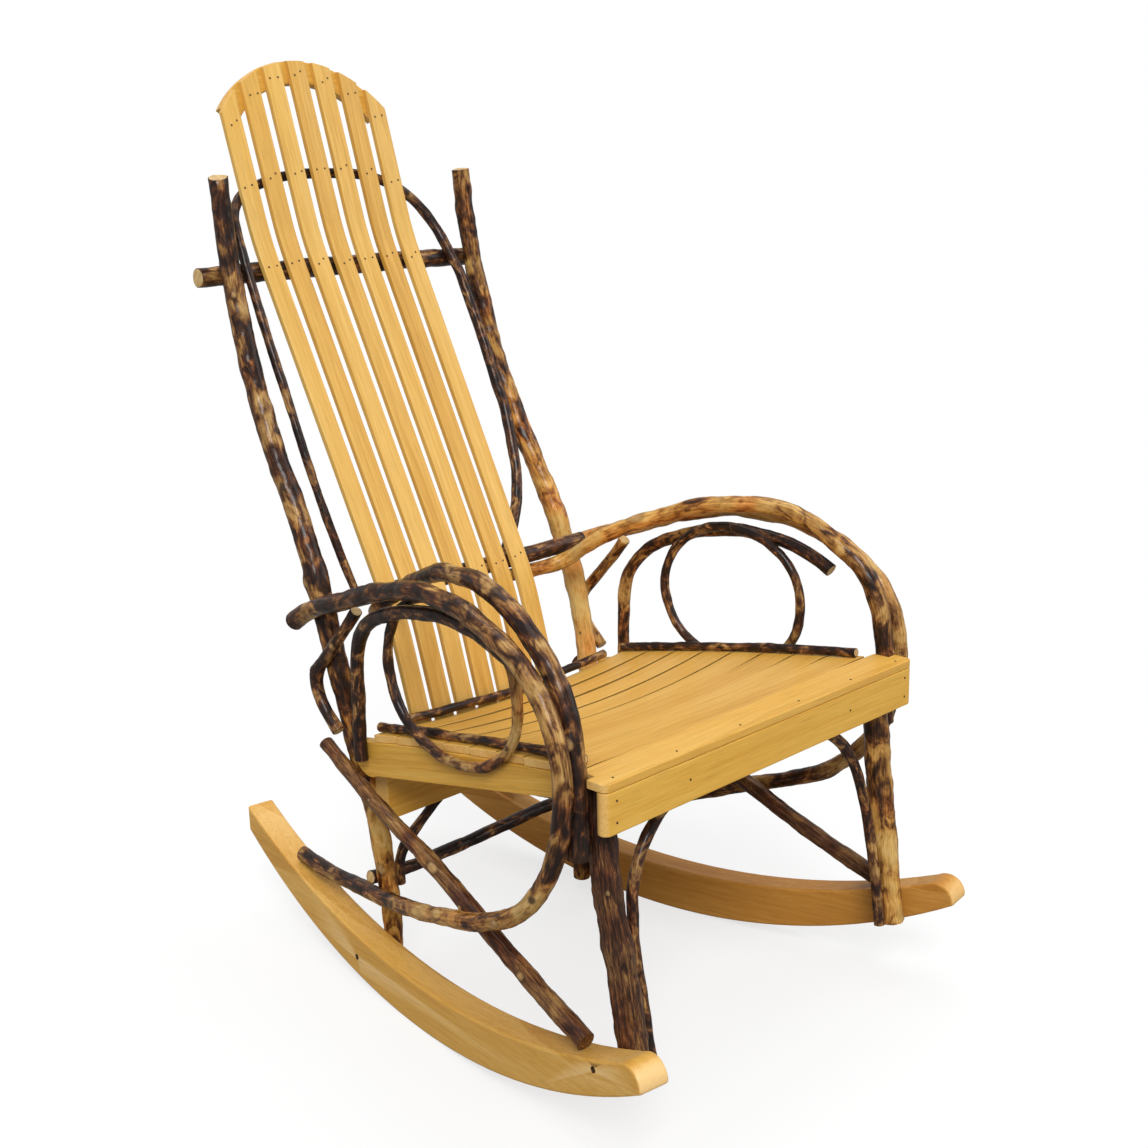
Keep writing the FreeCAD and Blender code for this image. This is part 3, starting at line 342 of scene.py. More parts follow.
def cutEnds(piece):
    # each flat end gets a bark rim, and pale wood inside it in three rings
    fan = [face.index for face in piece.data.polygons if len(face.vertices) == 3]
    editAll(piece)
    bpy.ops.mesh.select_mode(type="FACE")
    bpy.ops.mesh.select_all(action="DESELECT")
    backToObject()
    for index in fan:
        piece.data.polygons[index].select = True
    bpy.ops.object.mode_set(mode="EDIT")
    bpy.ops.mesh.dissolve_faces()
    for depth in (cutStep, 0.0, 0.0):
        bpy.ops.mesh.inset(thickness=cutRim, depth=depth)
        backToObject()
        for face in piece.data.polygons:
            if face.select:
                face.material_index = 1
        bpy.ops.object.mode_set(mode="EDIT")
    backToObject()


# peel and gold run from a stick's start to its end
# a scar is its share of the length, the way it faces, its reach, and its height, below zero for a dark knot
stickSettings = {
    "left_front_leg": {"peel": (0.52, 0.46, 0.36, 0.42), "gold": (0.9, 0.7), "lump": 0.2},
    "right_front_leg": {"peel": (0.36, 0.32, 0.30, 0.22), "material": "ridged", "lump": 0.2,
                        "scars": ((0.64, (-0.7, -0.7, 0), 0.005, 0.0012),)},
    "left_back_post": {"peel": (0.35, 0.45, 0.8, 1.0, 1.0, 0.65, 0.45, 0.3, 0.2, 0.25), "slant": (0.1, 0.12),
                       "gold": (0.6, 0.8, 1.0, 1.0, 1.0, 0.6, 0.3),
                       "scars": ((0.455, (-0.7, -0.7, 0), 0.007, -0.001), (0.35, (-0.9, -0.4, 0), 0.003, -0.0005))},
    "right_back_post": {"peel": (0.40, 0.58, 0.5, 0.25, 0.28, 0.36, 0.38, 0.36, 0.34, 0.30), "slant": (0.22, 0.26),
                        "gold": (1.0, 1.0, 0.7, 0.2, 0.1, 0.1, 0.1),
                        "scars": ((0.141, (-0.9, -0.4, 0), 0.010, 0.0022), (0.504, (-0.8, 0.5, 0), 0.012, 0.004),
                                  (0.62, (-0.8, -0.6, 0), 0.007, -0.0015), (0.86, (-0.7, -0.7, 0), 0.006, 0.0012))},
    "upper_cross_bar": {"peel": (0.36, 0.3, 0.28, 0.28, 0.3)},
    "lower_cross_bar": {"peel": (0.45, 0.3, 0.25)},
    "left_outer_arm_bow": {"peel": (0.32, 0.32, 0.34, 0.44, 0.6, 0.72, 0.85, 0.85, 0.75),
                           "gold": (0.1, 0.1, 0.2, 0.4, 0.6)},
    "right_outer_arm_bow": {"peel": (0.3, 0.3, 0.42, 0.78, 0.5, 0.3, 0.42, 0.45, 0.36, 0.3, 0.42),
                            "gold": (0.0, 0.2, 0.8, 0.3, 0.1, 0.1, 0.3),
                            "scars": ((0.389, (-1, -0.4, 0.3), 0.007, 0.0012), (0.45, (-1, -0.3, 0.1), 0.006, -0.0014),
                                      (0.475, (-0.9, -0.5, 0.1), 0.005, -0.0012),
                                      (0.19, (-0.9, -0.3, 0.4), 0.007, -0.0012),
                                      (0.80, (-0.8, -0.4, 0.6), 0.009, -0.0018))},
    "left_inner_arm_bow": {"peel": (0.3, 0.4, 0.55, 0.75, 0.82, 0.8), "gold": (0.2, 0.3, 0.7, 1.0, 1.0),
                           "scars": ((0.697, (-0.5, -0.3, 1), 0.014, 0.0014),
                                     (0.60, (-0.5, -0.4, 0.9), 0.006, -0.001))},
    "right_inner_arm_bow": {"peel": (0.15, 0.28, 0.33, 0.36, 0.3, 0.3, 0.4),
                            "scars": ((0.164, (-0.9, -0.45, 0.1), 0.010, 0.0022),
                                      (0.40, (-0.7, -0.3, 0.8), 0.008, -0.0018))},
    "left_arm_support_bow": {"peel": (0.45, 0.42, 0.25, 0.2), "gold": (0.6, 0.4, 0.1), "slot": "twig_bark"},
    "right_arm_support_bow": {"peel": (0.18, 0.12, 0.14, 0.22), "slot": "twig_bark"},
    "left_side_ring": {"peel": (0.25, 0.3, 0.35, 0.3, 0.2), "slot": "twig_bark", "lump": 0.22},
    "right_side_ring": {"peel": (0.65, 0.45, 0.1, 0.1, 0.25, 0.6, 0.7, 0.7, 0.6, 0.6, 0.65), "slot": "twig_bark",
                        "gold": (0.3, 0, 0, 0.4, 0.4), "lump": 0.22,
                        "scars": ((0.55, (-1, 0, 0), 0.005, 0.0012), (0.68, (-1, 0, 0.2), 0.005, -0.001),
                                  (0.93, (-1, 0, 0.4), 0.005, 0.001))},
    "left_crooked_brace": {"peel": (0.42, 0.5, 0.5), "gold": (0.6, 0.7), "slot": "twig_bark"},
    "right_crooked_brace": {"peel": (0.33, 0.36, 0.36), "slot": "twig_bark",
                            "scars": ((0.41, (-0.6, 0.8, 0), 0.006, 0.002), (0.7, (-0.8, -0.5, 0.2), 0.006, 0.0014))},
    "left_diagonal_stay": {"peel": (0.38, 0.36, 0.36), "material": "smooth", "ends": "bark"},
    "right_diagonal_stay": {"peel": (0.42, 0.44, 0.40, 0.50, 0.48, 0.46), "material": "smooth", "ends": "bark",
                            "scars": ((0.53, (-0.9, -0.3, 0.5), 0.010, 0.0018),
                                      (0.412, (-1, -0.4, -0.2), 0.006, 0.0022),
                                      (0.196, (-0.9, -0.5, 0.1), 0.008, 0.0016),
                                      (0.786, (-0.9, -0.3, 0.4), 0.004, 0.0008))},
    "front_arch": {"peel": (0.3, 0.28, 0.28, 0.36, 0.38), "slot": "twig_bark"},
    "rear_arch": {"peel": (0.2, 0.2, 0.2), "slot": "twig_bark"},
    "rear_stretcher": {"peel": (0.2, 0.25, 0.2), "slot": "twig_bark"},
    "back_hoop": {"peel": (0.25, 0.22, 0.18, 0.15, 0.2, 0.25, 0.25), "slot": "twig_bark"},
    "left_seat_trim": {"peel": (0.3, 0.2, 0.3), "slot": "twig_bark", "lump": 0.25},
    "right_seat_trim": {"peel": (0.32, 0.32, 0.42), "slot": "twig_bark", "lump": 0.25},
    "rear_seat_trim": {"peel": (0.3, 0.36, 0.28), "slot": "twig_bark", "lump": 0.25},
}

stickShadeAngle = 45
stickPieces = {}
for number, (nodeName, settings) in enumerate(stickSettings.items()):
    piece, route, closed = bendStick(nodeName, settings)
    if "slant" in settings:
        slantTop(piece, settings["slant"])
    layBark(piece, route, settings, seed=number * stickShape["barkShift"])
    if not closed and settings.get("ends") != "bark":
        cutEnds(piece)
    shadeByAngle(piece, stickShadeAngle)
    finishPiece(piece, settings.get("slot", "stick_bark"), nodeName)
    stickPieces[nodeName] = piece
print("sticks bent:", len(stickPieces))


# boards are the slats, apron, rails, the arched cleat and the rockers
boardTint = (1.0, 0.93, 0.66)
boardSettings = {"front_apron": {"slot": "board_oak", "tone": 0.05, "tint": (1.04, 0.97, 0.66), "edge": 0.0014}}
boardTones = {"left_side_rail": 0.0, "right_side_rail": -0.05, "back_rail": -0.1, "centre_rail": -0.1,
              "top_cleat": 0.0}
for nodeName, tone in boardTones.items():
    boardSettings[nodeName] = {"slot": "board_oak", "tone": tone, "tint": boardTint, "edge": 0.0012}
# the far rocker is darker and redder: partly redder wood, partly painted shade on its inner face under the seat
boardSettings["left_rocker"] = {"slot": "rocker_oak", "tone": -0.12, "tint": (0.84, 0.66, 0.56), "edge": 0.003,
                                "endGrainAndLightTone": 0.4}
# the near rocker's ends are much paler and bluer than end grain alone: pale end grain with painted light on its
# upturned nose
boardSettings["right_rocker"] = {"slot": "rocker_oak", "tone": 0.0, "tint": (0.95, 0.86, 0.76), "edge": 0.003,
                                 "endGrainAndLightTone": 0.6, "endGrainAndLightTint": (1.12, 1.14, 1.75)}
for number, tone in enumerate((0.06, -0.12, 0.08, -0.05, 0.14, -0.02, 0.1), start=1):
    boardSettings[f"back_slat_{number}"] = {"slot": "slat_oak", "tone": tone, "tint": (1.0, 0.98, 0.95), "edge": 0.001}
# seat slats after the front one get painted shade on their sides, where they face each other across the gaps
for number, tone in enumerate((0.10, 0.06, 0.12, 0.0, 0.08, 0.04, 0.1, 0.0, 0.05), start=1):
    boardSettings[f"seat_slat_{number}"] = {"slot": "slat_oak", "tone": tone, "tint": (1.02, 0.95, 0.78),
                                            "edge": 0.001, "paintedGapShade": 0.72 if number > 1 else 0}

# holes of sunk screws on the rockers' outer faces, placed by y and z
rockerHoles = {"places": ((0.1313, 0.0381), (-0.3819, 0.1158)), "radius": 0.0042, "depth": 0.012,
               "splay": math.radians(7.9), "sides": 20}


boardShadeAngle = 20
farOut = 0.6
boardShape = {"bevelSteps": 2, "bevelAngle": math.radians(40), "bendDegree": 6, "grainShift": 0.71,
              "endGrainAndLightTone": 0.15, "endGrainAndLightTint": (1.04, 1.0, 1.25), "endShare": 0.8}


def layGrain(piece, settings, seed):
    # grain runs along a board's longest way, and follows a bent slat's curve
    places = verticesOf(piece)
    centred = places - places.mean(axis=0)
    _, axes = np.linalg.eigh(centred.T @ centred)
    grain = centred @ axes[:, ::-1]
    bend = np.polynomial.Polynomial.fit(grain[:, 0], grain[:, 2], boardShape["bendDegree"])
    grain[:, 2] -= bend(grain[:, 0])
    shift = np.array([seed * 1.9, math.sin(seed * 5.1) * 0.11, math.cos(seed * 3.3) * 0.06])
    putAttribute(piece, "grainPlace", grain + shift)
    normals = np.empty(len(places) * 3)
    piece.data.vertices.foreach_get("normal", normals)
    turned = np.abs(normals.reshape(-1, 3) @ axes[:, ::-1])
    # faces at a board's ends get a paler tone and tint: pale end grain, and on the near rocker's nose also painted
    # light
    endGrainAndLightTone, endGrainAndLightTint = (settings.get(key, boardShape[key]) for key in ("endGrainAndLightTone", "endGrainAndLightTint"))
    tone = settings["tone"] + endGrainAndLightTone * np.clip(2 * turned[:, 0] - 0.6, 0, 1)
    ends = boardShape["endShare"] * np.clip(2 * turned[:, :1] - 0.4, 0, 1)
    tint = np.array(settings["tint"]) * (1 - ends) + np.array(endGrainAndLightTint) * ends
    # the sides that face across the board are darkened: painted shade in the gaps between seat slats
    tint *= (1 - settings.get("paintedGapShade", 0) * np.clip(3 * turned[:, 1] - 2, 0, 1))[:, None]
    putAttribute(piece, "tone", tone)
    putAttribute(piece, "tint", tint)


def drillRocker(piece, side):
    for y, z in rockerHoles["places"]:
        spot = piece.ray_cast((side * farOut, y, z), (-side, 0, 0))[1]
        deselectAll()
        bpy.ops.mesh.primitive_cylinder_add(vertices=rockerHoles["sides"], radius=rockerHoles["radius"],
                                            depth=2 * rockerHoles["depth"], location=spot,
                                            rotation=(0, math.pi / 2, side * rockerHoles["splay"]))
        drill = bpy.context.object
        addModifier(piece, "BOOLEAN", object=drill, operation="DIFFERENCE", solver="EXACT")
        applyModifiers(piece)
        bpy.data.objects.remove(drill, do_unlink=True)


# the circle that the slats' heads are cut to, as x and z
crown = {"middle": (-0.010, 1.032), "reach": 0.178, "band": 0.018, "rise": 0.0055}


def raiseCleat(piece):
    # the strip's upper edge comes nearly to the slats' ends
    places = verticesOf(piece)
    outward = places[:, [0, 2]] - crown["middle"]
    reach = np.linalg.norm(outward, axis=1)
    upper = reach > crown["reach"] - crown["band"]
    grown = outward * ((reach + crown["rise"]) / reach)[:, None] + crown["middle"]
    places[upper, 0], places[upper, 2] = grown[upper, 0], grown[upper, 1]
    piece.data.vertices.foreach_set("co", places.ravel())
    piece.data.update()


boardPieces = {}
for number, (nodeName, settings) in enumerate(boardSettings.items()):
    piece = copyOfNode(nodeName, nodeName + "_oak")
    if nodeName == "top_cleat":
        raiseCleat(piece)
    addModifier(piece, "BEVEL", width=settings["edge"], segments=boardShape["bevelSteps"], limit_method="ANGLE",
                angle_limit=boardShape["bevelAngle"])
    applyModifiers(piece)
    if settings["slot"] == "rocker_oak":
        drillRocker(piece, 1 if nodeName.startswith("left") else -1)
    layGrain(piece, settings, seed=number * boardShape["grainShift"])
    shadeByAngle(piece, boardShadeAngle)
    finishPiece(piece, settings["slot"], nodeName)
    boardPieces[nodeName] = piece
print("boards dressed:", len(boardPieces))


def addNode(tree, kind, place, inputs=None, **values):
    node = tree.nodes.new(kind)
    node.location = place
    for key, value in values.items():
        setattr(node, key, value)
    for key, value in (inputs or {}).items():
        if isinstance(value, bpy.types.NodeSocket):
            tree.links.new(value, node.inputs[key])
        else:
            node.inputs[key].default_value = value
    return node


def mathNode(tree, place, operation, *values, kind="ShaderNodeMath"):
    return addNode(tree, kind, place, dict(enumerate(values)), operation=operation).outputs[0]


def vectorNode(tree, place, operation, *values):
    return mathNode(tree, place, operation, *values, kind="ShaderNodeVectorMath")


def noiseNode(tree, place, vector, scale, detail=2.0, roughness=0.5, distortion=0.0):
    inputs = {"Vector": vector, "Scale": scale, "Detail": detail, "Roughness": roughness, "Distortion": distortion}
    return addNode(tree, "ShaderNodeTexNoise", place, inputs).outputs[0]


def rangeNode(tree, place, value, given, wanted, **values):
    inputs = {"Value": value, "From Min": given[0], "From Max": given[1], "To Min": wanted[0], "To Max": wanted[1]}
    return addNode(tree, "ShaderNodeMapRange", place, inputs, **values).outputs[0]


def rampNode(tree, place, factor, stops):
    node = addNode(tree, "ShaderNodeValToRGB", place, {0: factor})
    ramp = node.color_ramp
    while len(ramp.elements) < len(stops):
        ramp.elements.new(0.5)
    for element, (position, colour) in zip(ramp.elements, stops):
        element.position = position
        element.color = (*colour, 1)
    return node.outputs[0]


def mixColours(tree, place, factor, first, second):
    inputs = {0: factor, 6: first, 7: second}
    return addNode(tree, "ShaderNodeMix", place, inputs, data_type="RGBA").outputs[2]


def mixShaders(tree, place, factor, first, second):
    return addNode(tree, "ShaderNodeMixShader", place, {0: factor, 1: first, 2: second}).outputs[0]


def attributeNode(tree, height, name):
    return addNode(tree, "ShaderNodeAttribute", (-900, height), attribute_name=name).outputs


def newGroup(name, inputs):
    group = bpy.data.node_groups.new(name, "ShaderNodeTree")
    for socketName, kind, value in inputs:
        socket = group.interface.new_socket(name=socketName, in_out="INPUT", socket_type=kind)
        if value is not None:
            socket.default_value = value
    for socketName, kind in (("Color", "NodeSocketColor"), ("Roughness", "NodeSocketFloat"),
                             ("Height", "NodeSocketFloat")):
        group.interface.new_socket(name=socketName, in_out="OUTPUT", socket_type=kind)
    start = addNode(group, "NodeGroupInput", (-1200, 0))
    end = addNode(group, "NodeGroupOutput", (900, 0))
    return group, start.outputs, end.inputs


# most noises stay within these bounds
noiseRange = (0.3, 0.7)
heightShare = 0.6
# bark from dark to peeled, its golden kind, and the slow drift of its hue; the shares of the noises that mix them
barkTones = ((0.28, (0.014, 0.009, 0.008)), (0.42, (0.032, 0.015, 0.010)), (0.50, (0.080, 0.033, 0.016)),
             (0.56, (0.155, 0.068, 0.026)), (0.63, (0.270, 0.135, 0.045)), (0.72, (0.42, 0.235, 0.078)),
             (0.88, (0.58, 0.36, 0.14)))
goldTones = ((0.30, (0.022, 0.011, 0.006)), (0.42, (0.085, 0.032, 0.011)), (0.52, (0.26, 0.108, 0.024)),
             (0.61, (0.46, 0.225, 0.050)), (0.74, (0.62, 0.34, 0.085)), (0.90, (0.70, 0.44, 0.14)))
hueTones = ((0.36, (1.14, 0.90, 0.80)), (0.50, (1.0, 0.97, 0.93)), (0.64, (0.92, 0.95, 0.98)))
barkMix = {"patches": 1.25, "slow": 0.80, "flecks": 0.20, "middle": -1.125, "peel": 0.5, "lift": 0.33,
           "stretch": (0.5, 1, 1), "streak": (0.07, 1, 1), "slowScale": 15.0, "fleckScale": 4.6, "streakScale": 430.0,
           "shade": (0.80, 1.16), "ragged": (0.55, 1.35), "knot": (0.030, 0.016, 0.010, 1), "stub": (0.50, 0.30, 0.12),
           "stubShade": (0.7, 1.1), "roughness": (0.28, 0.52)}


def makeBarkGroup():
    group, given, made = newGroup(
        "mottled bark",
        [("Place", "NodeSocketVector", None), ("Peel", "NodeSocketFloat", 0.4), ("Gold", "NodeSocketFloat", 0.0),
         ("Scar", "NodeSocketFloat", 0.0), ("Patch Scale", "NodeSocketFloat", 60.0),
         ("Contrast", "NodeSocketFloat", 1.0), ("Ridge", "NodeSocketFloat", 0.4)])
    stretched = vectorNode(group, (-1400, 200), "MULTIPLY", given["Place"], barkMix["stretch"])
    streaky = vectorNode(group, (-1400, -200), "MULTIPLY", given["Place"], barkMix["streak"])
    slow = noiseNode(group, (-1200, 600), given["Place"], barkMix["slowScale"])
    patches = noiseNode(group, (-1200, 300), stretched, given["Patch Scale"], 5.0, 0.54, 0.9)
    fleckScale = mathNode(group, (-1400, 0), "MULTIPLY", given["Patch Scale"], barkMix["fleckScale"])
    flecks = noiseNode(group, (-1200, 0), stretched, fleckScale, 3.0, 0.6)
    streaks = noiseNode(group, (-1200, -300), streaky, barkMix["streakScale"], 3.0, 0.6, 0.3)
    # patches, flecks and streaks are added up round zero, then the peel lifts them
    patchShare = mathNode(group, (-1000, 300), "MULTIPLY_ADD", patches, barkMix["patches"], barkMix["middle"])
    slowShare = mathNode(group, (-820, 300), "MULTIPLY_ADD", slow, barkMix["slow"], patchShare)
    fleckShare = mathNode(group, (-640, 300), "MULTIPLY_ADD", flecks, barkMix["flecks"], slowShare)
    streakShare = mathNode(group, (-820, -100), "SUBTRACT", streaks, 0.5)
    streakLevel = mathNode(group, (-640, -100), "MULTIPLY", streakShare, given["Ridge"])
    contrast = mathNode(group, (-460, 300), "MULTIPLY_ADD", fleckShare, given["Contrast"], streakLevel)
    lifted = mathNode(group, (-280, 300), "MULTIPLY_ADD", given["Peel"], barkMix["peel"], contrast)
    level = mathNode(group, (-100, 300), "ADD", lifted, barkMix["lift"])
    colour = rampNode(group, (80, 400), level, barkTones)
    golden = rampNode(group, (80, 100), level, goldTones)
    warmth = mixColours(group, (360, 300), given["Gold"], colour, golden)
    hue = rampNode(group, (80, -150), slow, hueTones)
    shade = rangeNode(group, (80, -400), streaks, noiseRange, barkMix["shade"])
    hued = vectorNode(group, (540, 300), "MULTIPLY", warmth, hue)
    tinted = vectorNode(group, (700, 300), "MULTIPLY", hued, shade)
    # a scar is pale wood with a dark rim, a knot is dark all over
    ragged = rangeNode(group, (180, -600), patches, noiseRange, barkMix["ragged"])
    scarPart = mathNode(group, (270, -700), "MULTIPLY", given["Scar"], ragged)
    scarSize = mathNode(group, (360, -600), "ABSOLUTE", scarPart)
    rim = rangeNode(group, (540, -600), scarSize, (0.15, 0.40), (0.0, 0.45))
    dark = rangeNode(group, (540, -400), scarPart, (-0.25, -0.60), (0.0, 0.85))
    darkest = mathNode(group, (700, -500), "MAXIMUM", rim, dark)
    pale = rangeNode(group, (540, -850), scarPart, (0.42, 0.80), (0.0, 0.9))
    paleWood = rangeNode(group, (360, -850), flecks, noiseRange, barkMix["stubShade"])
    paleColour = vectorNode(group, (540, -1050), "MULTIPLY", paleWood, barkMix["stub"])
    rimmed = mixColours(group, (880, 200), darkest, tinted, barkMix["knot"])
    scarred = mixColours(group, (1040, 200), pale, rimmed, paleColour)
    group.links.new(scarred, made["Color"])
    roughness = rangeNode(group, (880, -50), flecks, noiseRange, barkMix["roughness"])
    group.links.new(roughness, made["Roughness"])
    ridges = mathNode(group, (880, -250), "MULTIPLY", streaks, given["Ridge"])
    height = mathNode(group, (1040, -250), "MULTIPLY_ADD", flecks, heightShare, ridges)
    group.links.new(height, made["Height"])
    return group


# oak from the darker rings to the pale wood; the shares of the streaks, clouds and tone in it
oakTones = ((0.18, (0.50, 0.240, 0.040)), (0.42, (0.64, 0.345, 0.060)), (0.66, (0.73, 0.43, 0.095)),
            (0.92, (0.80, 0.52, 0.150)))
grainMix = {"streaks": 0.70, "clouds": 0.35, "tone": 0.9, "slow": (0.12, 1, 1), "fine": (0.025, 1, 1),
            "poreScale": 900.0, "streakScale": 210.0, "cloudScale": 26.0, "pores": (0.34, 0.50),
            "poreShade": (0.84, 1.0), "roughness": (0.50, 0.38)}


def makeGrainGroup():
    group, given, made = newGroup(
        "oak grain",
        [("Place", "NodeSocketVector", None), ("Tone", "NodeSocketFloat", 0.0), ("Tint", "NodeSocketVector", None),
         ("Ring Scale", "NodeSocketFloat", 9.0), ("Ring Depth", "NodeSocketFloat", 0.2)])
    slow = vectorNode(group, (-1000, 300), "MULTIPLY", given["Place"], grainMix["slow"])
    fine = vectorNode(group, (-1000, -200), "MULTIPLY", given["Place"], grainMix["fine"])
    rings = addNode(group, "ShaderNodeTexWave", (-800, 300),
                    {"Vector": slow, "Scale": given["Ring Scale"], "Distortion": 5.0, "Detail": 3.0,
                     "Detail Scale": 1.4, "Detail Roughness": 0.6},
                    wave_type="RINGS", rings_direction="X", wave_profile="SAW").outputs[1]
    pores = noiseNode(group, (-800, -50), fine, grainMix["poreScale"])
    streaks = noiseNode(group, (-800, -350), fine, grainMix["streakScale"], 4.0, 0.6)
    cloud = noiseNode(group, (-800, -650), slow, grainMix["cloudScale"])
    ringShare = mathNode(group, (-560, 300), "MULTIPLY", rings, given["Ring Depth"])
    streakShare = mathNode(group, (-400, 100), "MULTIPLY_ADD", streaks, grainMix["streaks"], ringShare)
    cloudShare = mathNode(group, (-240, 100), "MULTIPLY_ADD", cloud, grainMix["clouds"], streakShare)
    level = mathNode(group, (-80, 100), "MULTIPLY_ADD", given["Tone"], grainMix["tone"], cloudShare)
    colour = rampNode(group, (80, 300), level, oakTones)
    poreShade = rangeNode(group, (80, -50), pores, grainMix["pores"], grainMix["poreShade"])
    pored = vectorNode(group, (400, 200), "MULTIPLY", colour, poreShade)
    tinted = vectorNode(group, (560, 200), "MULTIPLY", pored, given["Tint"])
    group.links.new(tinted, made["Color"])
    roughness = rangeNode(group, (400, -50), streaks, noiseRange, grainMix["roughness"])
    group.links.new(roughness, made["Roughness"])
    height = mathNode(group, (400, -300), "MULTIPLY_ADD", poreShade, heightShare, streaks)
    group.links.new(height, made["Height"])
    return group


def newMaterial(name, **shaderValues):
    material = bpy.data.materials.new(name)
    material.use_nodes = True
    tree = material.node_tree
    shader = tree.nodes["Principled BSDF"]
    for key, value in shaderValues.items():
        shader.inputs[key.replace("_", " ")].default_value = value
    return material, tree, shader


def wearGroup(tree, shader, node, strength, distance):
    tree.links.new(node.outputs["Color"], shader.inputs["Base Color"])
    tree.links.new(node.outputs["Roughness"], shader.inputs["Roughness"])
    bump = addNode(tree, "ShaderNodeBump", (-250, -300),
                   {"Height": node.outputs["Height"], "Strength": strength, "Distance": distance})
    tree.links.new(bump.outputs["Normal"], shader.inputs["Normal"])


barkGroup = makeBarkGroup()
grainGroup = makeGrainGroup()
barkDepth, oakDepth, oakBump = 0.0012, 0.0006, 0.12


def makeBark(name, patchScale, ridge, strength, contrast=1.0):
    material, tree, shader = newMaterial(name, Coat_Weight=0.28, Coat_Roughness=0.16, Specular_IOR_Level=0.12)
    given = {"Place": attributeNode(tree, 0, "barkPlace")["Vector"], "Patch Scale": patchScale, "Ridge": ridge,
             "Contrast": contrast}
    for row, markName in enumerate(("Peel", "Gold", "Scar")):
        given[markName] = attributeNode(tree, -250 - 200 * row, markName.lower())["Fac"]
    bark = addNode(tree, "ShaderNodeGroup", (-600, 0), given, node_tree=barkGroup)
    wearGroup(tree, shader, bark, strength, barkDepth)
    return material


def makeOak(name, ringScale, ringDepth):
    material, tree, shader = newMaterial(name, Coat_Weight=0.08, Coat_Roughness=0.3, Specular_IOR_Level=0.28)
    given = {"Place": attributeNode(tree, 0, "grainPlace")["Vector"], "Tone": attributeNode(tree, -250, "tone")["Fac"],
             "Tint": attributeNode(tree, -500, "tint")["Vector"], "Ring Scale": ringScale, "Ring Depth": ringDepth}
    grain = addNode(tree, "ShaderNodeGroup", (-600, 0), given, node_tree=grainGroup)
    wearGroup(tree, shader, grain, oakBump, oakDepth)
    return material


# end grain is pale, with rings round the pith and clouds over them; nails are rusty, and their iron colour also paints
# shade on the walls of the rockers' screw holes
endTones = ((0.25, (0.30, 0.15, 0.05)), (0.55, (0.58, 0.36, 0.13)), (0.9, (0.72, 0.52, 0.24)))
endMix = {"flat": (0, 1, 1), "ringScale": 130.0, "cloudScale": 160.0, "rings": 0.35, "roughness": (0.45, 0.7)}
ironTones = ((0.35, (0.035, 0.019, 0.009)), (0.65, (0.110, 0.055, 0.022)))
ironMix = {"scale": 900.0, "roughness": (0.4, 0.7)}


def makeCutEnd():
    material, tree, shader = newMaterial("cut end", Coat_Weight=0.1)
    place = attributeNode(tree, 0, "barkPlace")["Vector"]
    flat = vectorNode(tree, (-720, 0), "MULTIPLY", place, endMix["flat"])
    rings = addNode(tree, "ShaderNodeTexWave", (-540, 100),
                    {"Vector": flat, "Scale": endMix["ringScale"], "Distortion": 1.5, "Detail": 2.0,
                     "Detail Scale": 1.0}, wave_type="RINGS", rings_direction="X").outputs[1]
    cloud = noiseNode(tree, (-540, -200), flat, endMix["cloudScale"], 3.0)
    level = mathNode(tree, (-340, 0), "MULTIPLY_ADD", rings, endMix["rings"], cloud)
    colour = rampNode(tree, (-160, 0), level, endTones)
    tree.links.new(colour, shader.inputs["Base Color"])
    roughness = rangeNode(tree, (-160, -300), cloud, (0, 1), endMix["roughness"])
    tree.links.new(roughness, shader.inputs["Roughness"])
    return material


def makeIronAndHoleShade():
    material, tree, shader = newMaterial("iron and hole shade", Metallic=0.2)
    place = addNode(tree, "ShaderNodeTexCoord", (-700, 0)).outputs["Object"]
    rust = noiseNode(tree, (-500, 0), place, ironMix["scale"])
    colour = rampNode(tree, (-300, 100), rust, ironTones)
    tree.links.new(colour, shader.inputs["Base Color"])
    roughness = rangeNode(tree, (-300, -200), rust, (0, 1), ironMix["roughness"])
    tree.links.new(roughness, shader.inputs["Roughness"])
    return material


finishes = {
    "stick_bark": makeBark("stick bark", 58.0, 0.35, 0.45),
    "smooth": makeBark("smooth stay bark", 60.0, 0.42, 0.5, contrast=0.30),
    "twig_bark": makeBark("twig bark", 85.0, 0.3, 0.45),
    "ridged": makeBark("ridged leg bark", 50.0, 0.62, 1.4, contrast=0.24),
    "slat_oak": makeOak("slat oak", 9.0, 0.14),
    "board_oak": makeOak("board oak", 7.0, 0.20),
    "rocker_oak": makeOak("rocker oak", 5.0, 0.30),
}
cutEnd = makeCutEnd()
ironAndHoleShade = makeIronAndHoleShade()
for nodeName, piece in stickPieces.items():
    settings = stickSettings[nodeName]
    piece.data.materials.append(finishes[settings.get("material", settings.get("slot", "stick_bark"))])
    piece.data.materials.append(cutEnd)
for nodeName, piece in boardPieces.items():
    piece.data.materials.append(finishes[boardSettings[nodeName]["slot"]])
print("finishes made:", len(finishes) + 2)


# small nails hold every slat and the apron; back slats have pairs at their heads, over the hoop and over both bars
nailSettings = {"radius": 0.0014, "height": 0.0007, "sides": 12, "rim": 0.0005, "crown": 0.0003,
                "inset": 0.019, "lead": 0.006, "barHeights": (0.941, 0.533), "headDrop": 0.03,
                "aside": 0.006, "tilt": 0.3, "stray": 0.002, "strayDown": 1.4,
                "frontSlat": {"x": (-0.262, -0.16, -0.05, 0.06, 0.165, 0.262), "fromEdge": 0.011},
                "seatSlatEnd": 0.013,
                "apron": ((-0.268, 0.420), (-0.268, 0.395), (-0.150, 0.408), (0.150, 0.408), (0.268, 0.420),
                          (0.268, 0.395))}
backWay, downWay = (0, 1, 0), (0, 0, -1)


